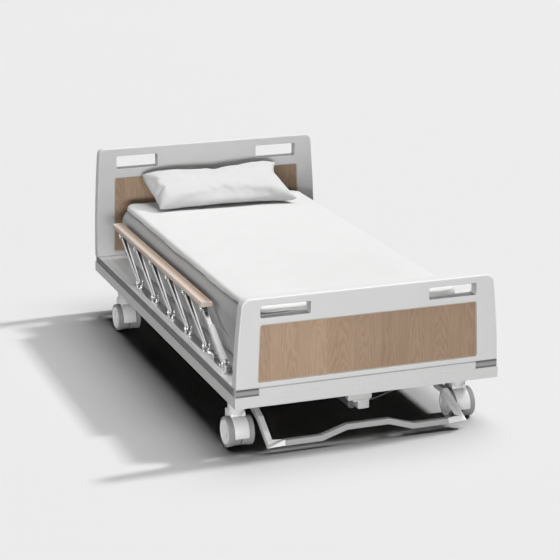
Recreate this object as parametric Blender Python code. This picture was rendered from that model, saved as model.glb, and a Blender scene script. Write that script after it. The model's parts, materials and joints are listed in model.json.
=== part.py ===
"""Adjustable hospital bed, built from separate pieces in metres.

The floor is z = 0, the bed's length runs along Y with the head end at +Y, and the origin is on the floor under
the middle of the frame. A rectangular chassis stands on four twin-wheel casters. Two equal lift arms carry the
upper frame, which stays level as they swing. The upper frame holds the four platform sections, the end boards
and the folding side rails.
"""

import math

import bmesh
import bpy
from mathutils import Matrix, Vector

# ---------------------------------------------------------------- driving dimensions
BED_WIDTH = 1.140
BED_LENGTH = 2.130
HALF_W = BED_WIDTH / 2
HALF_L = BED_LENGTH / 2
GAP = 0.0003  # the smallest clearance between two pieces that touch

# Upper frame: a folded C profile round the deck
FRAME_BOTTOM = 0.212
FRAME_TOP = 0.289
FRAME_WALL = 0.0035
TOP_FLANGE = 0.052
BOTTOM_FLANGE = 0.030
STRIP_HEIGHT = 0.030
STRIP_DEPTH = 0.005
CORNER_BUMPER_WIDTH = 0.095
LEDGE_THICKNESS = 0.003
LEDGE_INNER_X = 0.425
MEMBER_HEIGHT = 0.022
MEMBER_WALL = 0.003
LONG_MEMBER_X = 0.330

# End boards
BOARD_THICKNESS = 0.052
FOOTBOARD = {"top": 0.656, "half": 0.5655, "corner": 0.038, "narrowing": 0.029, "power": 1.6,
             "slot_z": (0.575, 0.625),
             "panel_z": (0.312, 0.547), "panel_half": (0.474, 0.4645)}
HEADBOARD = {"top": 0.826, "half": HALF_W, "corner": 0.030, "narrowing": 0.025, "power": 1.8,
             "slot_z": (0.725, 0.787),
             "panel_z": (0.312, 0.680), "panel_half": (0.484, 0.473)}
SLOT_X = (0.254, 0.463)
SLOT_CORNER = 0.006
PANEL_RECESS = 0.005
PANEL_CORNER = 0.010

# Platform sections and the mattress on them
PLATFORM_HALF_W = 0.445
PLATFORM_BOTTOM = 0.304
PLATFORM_TOP = 0.368
PLATE = 0.011
RIM = 0.020
HINGE_Z = 0.358
HINGE_GAP = 0.010  # from each hinge axis to the end of the plates beside it
BACK_HINGE_Y = 0.180
THIGH_HINGE_Y = -0.100
LEG_HINGE_Y = -0.400
PLATFORM_HEAD_Y = 0.945
PLATFORM_FOOT_Y = -0.995
MATTRESS_FOOT_Y = -0.937
HINGE_ROD_R = 0.004
KNUCKLE_R = 0.0075
MATTRESS_HALF_W = 0.462
MATTRESS_TOP = 0.572
MATTRESS_EDGE = 0.022
PILLOW_HALF = (0.340, 0.150, 0.058)
PILLOW_CENTRE = (0.013, 0.857, 0.6485)
PILLOW_TILT = math.radians(20)

# Motion of the platform: each actuator's rod pushes a roller on a lever under its section
BACK_TRAVEL = math.radians(65)
THIGH_TRAVEL = math.radians(30)
LEVER = 0.128
ROLLER_R = 0.012
ROD_R = 0.010
ROD_BORE_R = 0.0112
TUBE_R = 0.021
PAD_R = 0.016
PAD_THICKNESS = 0.006
ROLLER_GAP = 0.003
FORK_INNER = 0.0180
FORK_OUTER = 0.0230
ACTUATOR_X = 0.100

# Chassis and height adjustment
CHASSIS_BOTTOM = 0.157
CHASSIS_TOP = 0.193
CHASSIS_LONG_X = 0.356
CHASSIS_TUBE = 0.040
LIFT_ARM = 0.420
LIFT_REST = math.radians(8.2)
LIFT_TRAVEL = math.radians(52)
LIFT_PIVOT_Z = 0.175
LIFT_FOOT_Y = -0.620
LIFT_HEAD_Y = 0.180
LIFT_BAR_X = 0.280
PIN_R = 0.010
PIN_BORE_R = 0.0112
LIFT_LEVER = 0.075

# Casters
WHEEL_R = 0.0625
WHEEL_HALF_W = 0.056
TYRE_W = 0.024
CORE_R = 0.0600
HOOD_HALF_W = 0.031
CASTER_X = {"left": -0.507, "right": 0.468}
CASTER_FRONT_Y = -0.897
CASTER_REAR_Y = 0.743
CASTER_TRAIL = 0.008
POST_R = 0.036
HOOD_TOP = 0.150

# Brake bar at the foot end
BRAKE_PIVOT = (-0.800, 0.172)
BRAKE_BAR_Y = -1.046
BRAKE_BAR_Z = 0.042
BRAKE_HUMP = 0.034
BRAKE_CORNER_X = 0.420
BRAKE_ARM_X = {"left": -0.424, "right": 0.391}
BRAKE_TUBE = 0.024

# Side rails
RAIL_X = 0.527
POSTS_PER_RAIL = 6
POST_PITCH = 0.248
FIRST_POST_Y = 0.420
POST_LENGTH = 0.316
POST_HALF = 0.010
RAIL_PIVOT_Z = 0.320
RAIL_PIN_R = 0.004
RAIL_BORE_R = 0.0050
EAR = 0.004
EAR_R = 0.012
LOWER_RAIL = {"y": (-0.866, 0.470), "half_w": 0.023, "thickness": 0.006}
TOP_RAIL = {"overhang": (0.042, 0.089), "half_w": 0.025, "height": 0.024, "above_pivot": 0.017}
RAISED_REST = math.radians(29.0)
FOLDED_REST = math.radians(8.0)


# ---------------------------------------------------------------- scene and materials
def clear_scene():
    for obj in list(bpy.data.objects):
        bpy.data.objects.remove(obj)


def material(name, colour, roughness, metallic=0.0):
    made = bpy.data.materials.new(name)
    made.use_nodes = True
    shader = made.node_tree.nodes["Principled BSDF"]
    shader.inputs["Base Color"].default_value = (*colour, 1.0)
    shader.inputs["Roughness"].default_value = roughness
    shader.inputs["Metallic"].default_value = metallic
    made.diffuse_color = (*colour, 1.0)
    return made


def make_materials():
    return {
        "white_paint": material("white_paint", (0.83, 0.83, 0.82), 0.40),
        "white_plastic": material("white_plastic", (0.84, 0.84, 0.83), 0.45),
        "wood_laminate": material("wood_laminate", (0.42, 0.28, 0.19), 0.50),
        "grey_rubber": material("grey_rubber", (0.25, 0.25, 0.24), 0.75),
        "grey_plastic": material("grey_plastic", (0.40, 0.40, 0.39), 0.55),
        "ledge_plate": material("ledge_plate", (0.55, 0.55, 0.55), 0.40),
        "polished_aluminium": material("polished_aluminium", (0.80, 0.80, 0.80), 0.22, 1.0),
        "bright_steel": material("bright_steel", (0.62, 0.62, 0.62), 0.30, 1.0),
        "bed_linen": material("bed_linen", (0.86, 0.86, 0.84), 0.90),
        "pillow_cotton": material("pillow_cotton", (0.82, 0.82, 0.81), 0.90),
    }


# ---------------------------------------------------------------- solids
def prism(outline, axis, low, high):
    """A flat outline pushed along an axis. The outline's two numbers are the other two axes, in X, Y, Z order."""
    bm = bmesh.new()
    others = [k for k in range(3) if k != axis]

    def corner(point, depth):
        place = [0.0, 0.0, 0.0]
        place[others[0]], place[others[1]], place[axis] = point[0], point[1], depth
        return bm.verts.new(place)

    near = [corner(p, low) for p in outline]
    far = [corner(p, high) for p in outline]
    bm.faces.new(near)
    bm.faces.new(far)
    for i in range(len(outline)):
        j = (i + 1) % len(outline)
        bm.faces.new((near[i], near[j], far[j], far[i]))
    bmesh.ops.recalc_face_normals(bm, faces=bm.faces)
    return bm


def box(x, y, z):
    return prism([(x[0], y[0]), (x[1], y[0]), (x[1], y[1]), (x[0], y[1])], 2, z[0], z[1])


def arc(centre, radius, start, end, steps):
    """Points on a circle from angle start to angle end, in degrees, both ends included."""
    angles = [math.radians(start + (end - start) * i / steps) for i in range(steps + 1)]
    return [(centre[0] + radius * math.cos(a), centre[1] + radius * math.sin(a)) for a in angles]


def rod(axis, low, high, centre, radius, segments=12):
    """A round bar along an axis. centre holds the other two coordinates, in X, Y, Z order."""
    half = 180.0 / segments
    return prism(arc(centre, radius, half, 360 - half, segments - 1), axis, low, high)


def rounded_rectangle(low, high, radius, steps=3):
    (x0, y0), (x1, y1) = low, high
    return (arc((x1 - radius, y1 - radius), radius, 0, 90, steps)
            + arc((x0 + radius, y1 - radius), radius, 90, 180, steps)
            + arc((x0 + radius, y0 + radius), radius, 180, 270, steps)
            + arc((x1 - radius, y0 + radius), radius, 270, 360, steps))


def channel(axis, low, high, centre, width, bottom, top, wall):
    """An upside-down U profile along X or Y."""
    a, b = centre - width / 2, centre + width / 2
    outline = [(a, bottom), (a + wall, bottom), (a + wall, top - wall), (b - wall, top - wall),
               (b - wall, bottom), (b, bottom), (b, top), (a, top)]
    return prism(outline, axis, low, high)


def sweep(path, half_w, half_h, up):
    """A rectangular bar along a bent path, mitred at each bend. up is across the bar's height."""
    path = [Vector(p) for p in path]
    up = Vector(up).normalized()
    bm = bmesh.new()
    rings = []
    for i, point in enumerate(path):
        before = (path[i] - path[i - 1]).normalized() if i else None
        after = (path[i + 1] - path[i]).normalized() if i + 1 < len(path) else None
        along = (before or after) if before is None or after is None else (before + after).normalized()
        run = before or after
        side = run.cross(up).normalized()
        tall = side.cross(run).normalized()
        ring = []
        for a, b in ((-1, -1), (1, -1), (1, 1), (-1, 1)):
            offset = side * half_w * a + tall * half_h * b
            offset -= run * (offset.dot(along) / run.dot(along))
            ring.append(bm.verts.new(point + offset))
        rings.append(ring)
    bm.faces.new(rings[0])
    bm.faces.new(rings[-1])
    for first, second in zip(rings, rings[1:]):
        for k in range(4):
            bm.faces.new((first[k], first[(k + 1) % 4], second[(k + 1) % 4], second[k]))
    bmesh.ops.recalc_face_normals(bm, faces=bm.faces)
    return bm


def lathe(profile, segments):
    """A closed profile of (x, radius) points turned about the X axis, with a corner at the lowest point."""
    bm = bmesh.new()
    rings = []
    for k in range(segments):
        angle = 2 * math.pi * k / segments - math.pi / 2
        ring = [bm.verts.new((x, r * math.cos(angle), r * math.sin(angle))) for x, r in profile]
        rings.append(ring)
    for k in range(segments):
        first, second = rings[k], rings[(k + 1) % segments]
        for i in range(len(profile) - 1):
            bm.faces.new((first[i], first[i + 1], second[i + 1], second[i]))
    bm.faces.new([ring[0] for ring in rings])
    bm.faces.new([ring[-1] for ring in rings])
    bmesh.ops.recalc_face_normals(bm, faces=bm.faces)
    return bm


def together(solids):
    """Several separate solids held in one mesh, to use as one side of a Boolean."""
    joined = bmesh.new()
    for solid in solids:
        mesh = bpy.data.meshes.new("part")
        solid.to_mesh(mesh)
        joined.from_mesh(mesh)
        bpy.data.meshes.remove(mesh)
        solid.free()
    return joined


def moved(bm, location=(0, 0, 0), turn=0.0, axis="X"):
    bm.transform(Matrix.Translation(location) @ Matrix.Rotation(turn, 4, axis))
    return bm


def new_object(name, bm):
    mesh = bpy.data.meshes.new(name)
    bm.to_mesh(mesh)
    bm.free()
    obj = bpy.data.objects.new(name, mesh)
    bpy.context.scene.collection.objects.link(obj)
    return obj


def boolean(bm, operation, tool):
    """The two solids joined or cut, as a new bmesh."""
    body = new_object("body", bm)
    other = new_object("tool", tool)
    step = body.modifiers.new(operation, "BOOLEAN")
    step.operation = operation
    step.object = other
    bpy.context.view_layer.update()
    graph = bpy.context.evaluated_depsgraph_get()
    result = bmesh.new()
    result.from_mesh(body.evaluated_get(graph).to_mesh())
    bpy.data.objects.remove(body)
    bpy.data.objects.remove(other)
    bmesh.ops.dissolve_limit(result, angle_limit=math.radians(0.5), verts=result.verts, edges=result.edges)
    return result


def weld(first, *others):
    """Solids that overlap, joined one after another into one body."""
    for other in others:
        first = boolean(first, "UNION", other)
    return first


def cut(bm, *tools):
    for tool in tools:
        bm = boolean(bm, "DIFFERENCE", tool)
    return bm


def place(name, bm_or_mesh, look, pivot=(0, 0, 0), turn=0.0, local=False):
    """Adds a node. A solid made in world coordinates moves its origin to pivot; a local one is placed there."""
    if isinstance(bm_or_mesh, bpy.types.Mesh):
        obj = bpy.data.objects.new(name, bm_or_mesh)
        bpy.context.scene.collection.objects.link(obj)
    else:
        if not local:
            bm_or_mesh.transform(Matrix.Translation(-Vector(pivot)))
        obj = new_object(name, bm_or_mesh)
        obj.data.materials.append(look)
        obj.data.shade_smooth()
        obj.data.set_sharp_from_angle(angle=math.radians(30))
    obj.location = pivot
    obj.rotation_euler.x = turn
    return obj


# ---------------------------------------------------------------- upper frame and its trim
def frame_ring():
    """The C profile, mitred round the four corners. Each profile point is (distance in from the edge, height)."""
    step_z = FRAME_TOP - STRIP_HEIGHT
    wall = FRAME_WALL
    profile = [(0, FRAME_BOTTOM), (0, step_z), (STRIP_DEPTH, step_z), (STRIP_DEPTH, FRAME_TOP),
               (TOP_FLANGE, FRAME_TOP), (TOP_FLANGE, FRAME_TOP - wall), (STRIP_DEPTH + wall, FRAME_TOP - wall),
               (STRIP_DEPTH + wall, step_z - wall), (wall, step_z - wall), (wall, FRAME_BOTTOM + wall),
               (BOTTOM_FLANGE, FRAME_BOTTOM + wall), (BOTTOM_FLANGE, FRAME_BOTTOM)]
    bm = bmesh.new()
    loops = []
    for inset, z in profile:
        x, y = HALF_W - inset, HALF_L - inset
        loops.append([bm.verts.new((a * x, b * y, z)) for a, b in ((-1, -1), (1, -1), (1, 1), (-1, 1))])
    for i in range(len(loops)):
        first, second = loops[i], loops[(i + 1) % len(loops)]
        for k in range(4):
            bm.faces.new((first[k], first[(k + 1) % 4], second[(k + 1) % 4], second[k]))
    bmesh.ops.recalc_face_normals(bm, faces=bm.faces)
    return bm


def lift_upper_pivot(lower_y):
    """Where an arm's upper pin sits at rest, as (y, z)."""
    return (lower_y + LIFT_ARM * math.cos(LIFT_REST), LIFT_PIVOT_Z + LIFT_ARM * math.sin(LIFT_REST))


def upper_frame(looks):
    low, high = FRAME_TOP - 0.003 - MEMBER_HEIGHT, FRAME_TOP - 0.003
    end_fill_x = HALF_W - STRIP_DEPTH - CORNER_BUMPER_WIDTH - GAP
    fill_y = (HALF_L - 0.007, HALF_L - 0.0015)
    fills = [box((-end_fill_x, end_fill_x), sorted((s * fill_y[0], s * fill_y[1])),
                 (FRAME_TOP - STRIP_HEIGHT - 0.002, FRAME_TOP - 0.001)) for s in (-1, 1)]
    reach_y = HALF_L - FRAME_WALL / 2 - STRIP_DEPTH
    reach_x = HALF_W - FRAME_WALL / 2 - STRIP_DEPTH
    longs = [channel(1, -reach_y, reach_y, s * LONG_MEMBER_X, 0.030, low, high - 0.001, MEMBER_WALL)
             for s in (-1, 1)]
    crosses = [channel(0, -reach_x, reach_x, y, 0.040, low + 0.0007, high - 0.0003, MEMBER_WALL)
               for y in (-0.860, -0.450, 0.300, 0.900)]
    frame = weld(frame_ring(), together(fills), together(longs), together(crosses))
    # Posts under the plates: the seat section is fixed to its own, the others rest on theirs.
    post_top = PLATFORM_TOP - PLATE - GAP
    posts = []
    for y, half in ((0.050, 0.035), (0.640, 0.015), (0.900, 0.015), (-0.240, 0.015), (-0.860, 0.015)):
        for s in (-1, 1):
            x = s * LONG_MEMBER_X
            posts.append(box((x - 0.013, x + 0.013), (y - half, y + half), (low + 0.012, post_top)))
    # Lugs that hold the lift arms' upper pins, with a bore through each.
    lugs, bores = [], []
    for lower_y in (LIFT_FOOT_Y, LIFT_HEAD_Y):
        y, z = lift_upper_pivot(lower_y)
        for s in (-1, 1):
            shape = [(y - 0.020, low + 0.010)] + arc((y, z), 0.020, 180, 360, 8) + [(y + 0.020, low + 0.010)]
            x = s * (LIFT_BAR_X + 0.0365)
            lugs.append(prism(shape, 0, x - 0.004, x + 0.004))
            bores.append(rod(0, x - 0.020, x + 0.020, (y, z), PIN_BORE_R))
    frame = cut(weld(frame, together(posts), together(lugs)), together(bores))
    foot_pivot = (0, *lift_upper_pivot(LIFT_FOOT_Y))
    return place("upper_frame", frame, looks["white_paint"], foot_pivot)


def trim(looks):
    z = (FRAME_TOP - STRIP_HEIGHT + GAP, FRAME_TOP)
    strip_end = HALF_L - 0.026
    for name, s in (("left", -1), ("right", 1)):
        outer, inner = s * HALF_W, s * (HALF_W - STRIP_DEPTH + GAP)
        place(f"bumper_strip_{name}", box(sorted((outer, inner)), (-strip_end, strip_end), z),
              looks["grey_rubber"], (s * HALF_W, 0, FRAME_TOP))
        x = sorted((s * LEDGE_INNER_X, s * (HALF_W - STRIP_DEPTH)))
        y = HALF_L - BOARD_THICKNESS - GAP
        place(f"side_ledge_{name}", box(x, (-y, y), (FRAME_TOP + GAP, FRAME_TOP + LEDGE_THICKNESS)),
              looks["ledge_plate"], (s * HALF_W, 0, FRAME_TOP))
        for end, e in (("foot", -1), ("head", 1)):
            x = sorted((s * (HALF_W - STRIP_DEPTH - GAP), s * (HALF_W - STRIP_DEPTH - CORNER_BUMPER_WIDTH)))
            face, back = e * HALF_L, e * (HALF_L - STRIP_DEPTH + GAP)
            pad = prism(rounded_rectangle((x[0], z[0]), (x[1], z[1]), 0.003), 1, *sorted((face - e * 0.001, back)))
            raised = prism(rounded_rectangle((x[0] + 0.008, z[0] + 0.007), (x[1] - 0.008, z[1] - 0.007), 0.004), 1,
                           *sorted((face, back + e * 0.001)))
            place(f"corner_bumper_{end}_{name}", weld(pad, raised), looks["grey_rubber"],
                  (s * HALF_W, e * HALF_L, FRAME_TOP))


# ---------------------------------------------------------------- end boards
def board_half_width(board, z):
    share = (z - FRAME_TOP) / (board["top"] - FRAME_TOP)
    return board["half"] - board["narrowing"] * share ** board["power"]


def board_outline(board):
    """One side rises from the frame with a slight inward bow to a rounded top corner; the other mirrors it."""
    bottom, top = FRAME_TOP + GAP, board["top"]
    corner = board["corner"]
    shoulder = top - corner
    rise = [bottom + (shoulder - bottom) * i / 5 for i in range(5)]
    side = [(board_half_width(board, z), z) for z in rise]
    inner = board_half_width(board, shoulder) - corner
    side += arc((inner, shoulder), corner, 0, 90, 5)
    return side + [(-x, z) for x, z in reversed(side)]


def panel_outline(board, spare):
    """The wood panel's rounded trapezoid, grown by spare all round."""
    (z0, z1), (half0, half1) = board["panel_z"], board["panel_half"]
    r = PANEL_CORNER
    low = arc((half0 - r, z0 + r), r + spare, -90, -2, 3)
    high = arc((half1 - r, z1 - r), r + spare, -2, 90, 3)
    right = low + high
    return right + [(-x, z) for x, z in reversed(right)]


def end_board(name, board, end, looks):
    """end is -1 at the foot and 1 at the head. The board's outer face is flush with the frame's end."""
    outer, inner = end * HALF_L, end * (HALF_L - BOARD_THICKNESS)
    y0, y1 = sorted((outer, inner))
    shell = prism(board_outline(board), 1, y0, y1)
    bmesh.ops.bevel(shell, geom=[e for e in shell.edges if abs(e.verts[0].co.y - e.verts[1].co.y) < 1e-6
                                 and e.verts[0].co.z + e.verts[1].co.z > 2 * FRAME_TOP + 0.001],
                    offset=0.004, segments=2, profile=0.5, affect="EDGES")
    slots = [prism(rounded_rectangle(sorted_pair(s, board["slot_z"], 0), sorted_pair(s, board["slot_z"], 1),
                                     SLOT_CORNER), 1, y0 - 0.01, y1 + 0.01) for s in (-1, 1)]
    opening = prism(panel_outline(board, GAP), 1, y0 - 0.01, y1 + 0.01)
    shell = cut(shell, together(slots + [opening]))
    place(name, shell, looks["white_plastic"], (0, (y0 + y1) / 2, FRAME_TOP))
    panel = prism(panel_outline(board, 0.0), 1, y0 + PANEL_RECESS, y1 - PANEL_RECESS)
    place(f"{name}_panel", panel, looks["wood_laminate"], (0, (y0 + y1) / 2, FRAME_TOP))


def sorted_pair(s, slot_z, which):
    """A slot's low or high corner on side s, as (x, z)."""
    return (sorted((s * SLOT_X[0], s * SLOT_X[1]))[which], slot_z[which])


# ---------------------------------------------------------------- platform
def plate_with_rims(y0, y1, slant0=0.0, slant1=0.0):
    """A section's top plate and two side rims. A slant shortens the rims' lower edge at that end."""
    plate = box((-PLATFORM_HALF_W, PLATFORM_HALF_W), (y0, y1), (PLATFORM_TOP - PLATE, PLATFORM_TOP))
    inset = 0.0005
    rims = []
    for s in (-1, 1):
        outline = [(y0 + inset + slant0, PLATFORM_BOTTOM), (y1 - inset - slant1, PLATFORM_BOTTOM),
                   (y1 - inset, PLATFORM_TOP - 0.004), (y0 + inset, PLATFORM_TOP - 0.004)]
        outer = PLATFORM_HALF_W - inset
        rims.append(prism(outline, 0, *sorted((s * outer, s * (outer - RIM)))))
    return weld(plate, together(rims))


def vents(y0, y1, count):
    """Long holes through the plate, in two rows."""
    cutters = []
    pitch = (y1 - y0) / count
    for i in range(count):
        y = y0 + pitch * (i + 0.5)
        for x in (-0.180, 0.180):
            outline = rounded_rectangle((x - 0.110, y - 0.030), (x + 0.110, y + 0.030), 0.014, 1)
            cutters.append(prism(outline, 2, PLATFORM_TOP - 0.030, PLATFORM_TOP + 0.010))
    return together(cutters)


def knuckles(y, spans, toward):
    """Hinge tubes round the axis at y, each with a tongue that runs back into its plate on the toward side."""
    tubes, tongues = [], []
    for x0, x1 in spans:
        tubes.append(rod(0, x0, x1, (y, HINGE_Z), KNUCKLE_R, 12))
        z = HINGE_Z - 0.0005
        tongues.append(box((x0 + 0.001, x1 - 0.001), sorted((y + toward * 0.004, y + toward * 0.030)), (z - 0.006, z + 0.006)))
    return weld(together(tubes), together(tongues))


def mirrored(spans):
    return list(spans) + [(-b, -a) for a, b in spans]


OUTER_KNUCKLES = mirrored([(0.352, 0.400)])
INNER_KNUCKLES = mirrored([(0.272, 0.300)])
CENTRE_KNUCKLE = [(-0.030, 0.030)]


def hinge_rod(y):
    return rod(0, -0.402, 0.402, (y, HINGE_Z), HINGE_ROD_R, 12)


def hinge_bore(y):
    return rod(0, -0.410, 0.410, (y, HINGE_Z), HINGE_ROD_R + 0.0006, 12)


def lever_pin(hinge_y, angle):
    """Centre of a lever's roller; angle is from straight down, positive towards the head."""
    return (hinge_y + LEVER * math.sin(angle), HINGE_Z - LEVER * math.cos(angle))


def lever(hinge_y, angle, side, x):
    """Two plates that hang from their section beside the hinge, with a roller between them for the push pad."""
    pin = lever_pin(hinge_y, angle)
    top = PLATFORM_TOP - PLATE + 0.003
    near, far = hinge_y + side * 0.018, hinge_y + side * 0.100
    reach = ROLLER_R + 0.003
    foot = [(pin[0] + side * reach * 0.9, pin[1] - reach * 0.3), (pin[0] - side * reach * 0.9, pin[1] + reach * 0.3)]
    outline = [(near, top), (far, top), foot[0], foot[1]]
    plates = [prism(outline, 0, *sorted((x + s * FORK_INNER, x + s * FORK_OUTER))) for s in (-1, 1)]
    roller = rod(0, x - FORK_OUTER + 0.001, x + FORK_OUTER - 0.001, pin, ROLLER_R, 16)
    return weld(together(plates), roller)


def platform(looks):
    g = HINGE_GAP
    steel = looks["grey_plastic"]
    seat = plate_with_rims(THIGH_HINGE_Y + g, BACK_HINGE_Y - g)
    seat = weld(seat, knuckles(BACK_HINGE_Y, OUTER_KNUCKLES, -1), knuckles(THIGH_HINGE_Y, OUTER_KNUCKLES, 1))
    seat = weld(seat, together([hinge_rod(BACK_HINGE_Y), hinge_rod(THIGH_HINGE_Y)]))
    seat = cut(seat, vents(THIGH_HINGE_Y + 0.030, BACK_HINGE_Y - 0.030, 1))
    place("seat_platform", seat, steel, (0, BACK_HINGE_Y, HINGE_Z))

    back = plate_with_rims(BACK_HINGE_Y + g, PLATFORM_HEAD_Y)
    back = weld(back, knuckles(BACK_HINGE_Y, INNER_KNUCKLES + CENTRE_KNUCKLE, 1),
                lever(BACK_HINGE_Y, -BACK_TRAVEL / 2, 1, -ACTUATOR_X))
    back = cut(back, hinge_bore(BACK_HINGE_Y), vents(BACK_HINGE_Y + 0.130, PLATFORM_HEAD_Y - 0.030, 4))
    place("back_platform", back, steel, (0, BACK_HINGE_Y, HINGE_Z))

    slant = 0.026
    thigh = plate_with_rims(LEG_HINGE_Y + g, THIGH_HINGE_Y - g, slant0=slant)
    thigh = weld(thigh, knuckles(THIGH_HINGE_Y, INNER_KNUCKLES + CENTRE_KNUCKLE, -1),
                 lever(THIGH_HINGE_Y, THIGH_TRAVEL / 2, -1, ACTUATOR_X))
    thigh = cut(thigh, hinge_bore(THIGH_HINGE_Y))
    thigh = weld(thigh, knuckles(LEG_HINGE_Y, OUTER_KNUCKLES, 1), hinge_rod(LEG_HINGE_Y))
    thigh = cut(thigh, vents(LEG_HINGE_Y + 0.040, THIGH_HINGE_Y - 0.120, 1))
    place("thigh_platform", thigh, steel, (0, THIGH_HINGE_Y, HINGE_Z))

    leg = plate_with_rims(PLATFORM_FOOT_Y, LEG_HINGE_Y - g, slant1=slant)
    leg = weld(leg, knuckles(LEG_HINGE_Y, INNER_KNUCKLES + CENTRE_KNUCKLE, -1))
    leg = cut(leg, hinge_bore(LEG_HINGE_Y), vents(PLATFORM_FOOT_Y + 0.030, LEG_HINGE_Y - 0.040, 3))
    place("leg_platform", leg, steel, (0, LEG_HINGE_Y, HINGE_Z))


def mattress_section(name, bottom_y, top_y, pivot_y, looks):
    """One length of mattress; its ends slope so that neighbours don't meet when the platform bends."""
    z0, z1 = PLATFORM_TOP + GAP + 0.001, MATTRESS_TOP
    outline = [(bottom_y[0], z0), (bottom_y[1], z0), (top_y[1], z1), (top_y[0], z1)]
    solid = prism(outline, 0, -MATTRESS_HALF_W, MATTRESS_HALF_W)
    long_edges = [e for e in solid.edges if abs(e.verts[0].co.x - e.verts[1].co.x) < 1e-6
                  and e.verts[0].co.z > z1 - 0.001 and e.verts[1].co.z > z1 - 0.001]
    bmesh.ops.bevel(solid, geom=long_edges, offset=MATTRESS_EDGE, segments=3, profile=0.5, affect="EDGES")
    place(name, solid, looks["bed_linen"], (0, pivot_y, HINGE_Z))


def mattress(looks):
    rise = MATTRESS_TOP - PLATFORM_TOP
    back_slope, seat_slope = rise * math.tan(math.radians(48)), rise * math.tan(math.radians(18.5))
    thigh_slope, seat_foot_slope = rise * math.tan(math.radians(20)), rise * math.tan(math.radians(11.5))
    g = HINGE_GAP + 0.002
    back0 = BACK_HINGE_Y + g
    seat1, seat0 = BACK_HINGE_Y - g, THIGH_HINGE_Y + g
    thigh1, thigh0 = THIGH_HINGE_Y - g, LEG_HINGE_Y + 0.003
    mattress_section("mattress_back", (back0, PLATFORM_HEAD_Y), (back0 + back_slope, PLATFORM_HEAD_Y),
                     BACK_HINGE_Y, looks)
    mattress_section("mattress_seat", (seat0, seat1), (seat0 + seat_foot_slope, seat1 - seat_slope),
                     BACK_HINGE_Y, looks)
    mattress_section("mattress_thigh", (thigh0, thigh1), (thigh0, thigh1 - thigh_slope), THIGH_HINGE_Y, looks)
    leg1 = LEG_HINGE_Y - 0.003
    mattress_section("mattress_leg", (MATTRESS_FOOT_Y, leg1), (MATTRESS_FOOT_Y, leg1), LEG_HINGE_Y, looks)


def pillow(looks):
    """A cushion whose thickness falls to the seam along a smooth bulge."""
    half_x, half_y, half_z = PILLOW_HALF
    bm = bmesh.new()
    columns, rows = 12, 8
    top, bottom = {}, {}
    for i in range(columns + 1):
        for j in range(rows + 1):
            u, v = 2 * i / columns - 1, 2 * j / rows - 1
            swell = ((1 - u ** 4) * (1 - v ** 2)) ** 0.5
            x, y = u * half_x, v * half_y
            edge = i in (0, columns) or j in (0, rows)
            top[i, j] = bm.verts.new((x, y, half_z * swell))
            bottom[i, j] = top[i, j] if edge else bm.verts.new((x, y, -half_z * swell))
    for i in range(columns):
        for j in range(rows):
            rising = (i < columns / 2) == (j < rows / 2)
            for side in (top, bottom):
                a, b, c, d = side[i, j], side[i + 1, j], side[i + 1, j + 1], side[i, j + 1]
                halves = ((a, b, c), (a, c, d)) if rising else ((a, b, d), (b, c, d))
                for half in halves:
                    bm.faces.new(half)
    bmesh.ops.recalc_face_normals(bm, faces=bm.faces)
    obj = place("pillow", bm, looks["pillow_cotton"], PILLOW_CENTRE, PILLOW_TILT, local=True)
    return obj


# ---------------------------------------------------------------- actuators
def actuator(name, x, z, motor_y, tube_y, rod_y, push, looks):
    """A fixed linear actuator: gear motor, outer tube and a sliding rod with a push pad.

    push is the direction the rod extends along Y. motor_y, tube_y and rod_y are (start, end) along that push.
    """
    low, high = sorted(motor_y)
    case = prism(rounded_rectangle((x - 0.026, z - 0.026), (x + 0.026, z + 0.022), 0.008, 2), 1, low, high)
    motor_low = sorted((motor_y[0] + push * 0.006, motor_y[0] + push * 0.050))
    side = -1 if x < 0 else 1
    motor = rod(0, *sorted((x + side * 0.010, x + side * 0.075)), (sum(motor_low) / 2, z - 0.004), 0.020)
    tube = rod(1, *sorted((motor_y[1] - push * 0.010, tube_y)), (x, z), TUBE_R, 18)
    hanger = box((x - 0.010, x + 0.010), (low + 0.012, high - 0.012), (z + 0.012, FRAME_TOP - 0.003 - MEMBER_HEIGHT - GAP))
    body = weld(case, motor, tube, hanger)
    bore = rod(1, *sorted((rod_y[0] - push * 0.006, tube_y + push * 0.010)), (x, z), ROD_BORE_R, 18)
    place(name, cut(body, bore), looks["grey_plastic"], (x, tube_y, z))
    shaft = rod(1, *sorted(rod_y), (x, z), ROD_R, 18)
    pad = rod(1, *sorted((rod_y[1] - push * PAD_THICKNESS, rod_y[1] + push * 0.0005)), (x, z), PAD_R, 18)
    place(f"{name}_rod", weld(shaft, pad), looks["bright_steel"], (x, rod_y[1], z))


def platform_actuators(looks):
    back_pin = lever_pin(BACK_HINGE_Y, -BACK_TRAVEL / 2)
    tip = back_pin[0] - ROLLER_R - ROLLER_GAP
    actuator("back_actuator", -ACTUATOR_X, 0.2395, (-0.478, -0.410), -0.030, (-0.215, tip), 1, looks)
    knee_pin = lever_pin(THIGH_HINGE_Y, THIGH_TRAVEL / 2)
    tip = knee_pin[0] + ROLLER_R + ROLLER_GAP
    actuator("knee_actuator", ACTUATOR_X, 0.2360, (0.332, 0.264), 0.080, (0.200, tip), -1, looks)


def control_box(looks):
    case = prism(rounded_rectangle((-0.250, 0.236), (-0.140, 0.392), 0.012), 2, 0.224, 0.2625)
    place("control_box", case, looks["grey_plastic"], (-0.195, 0.314, 0.2625))


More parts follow.
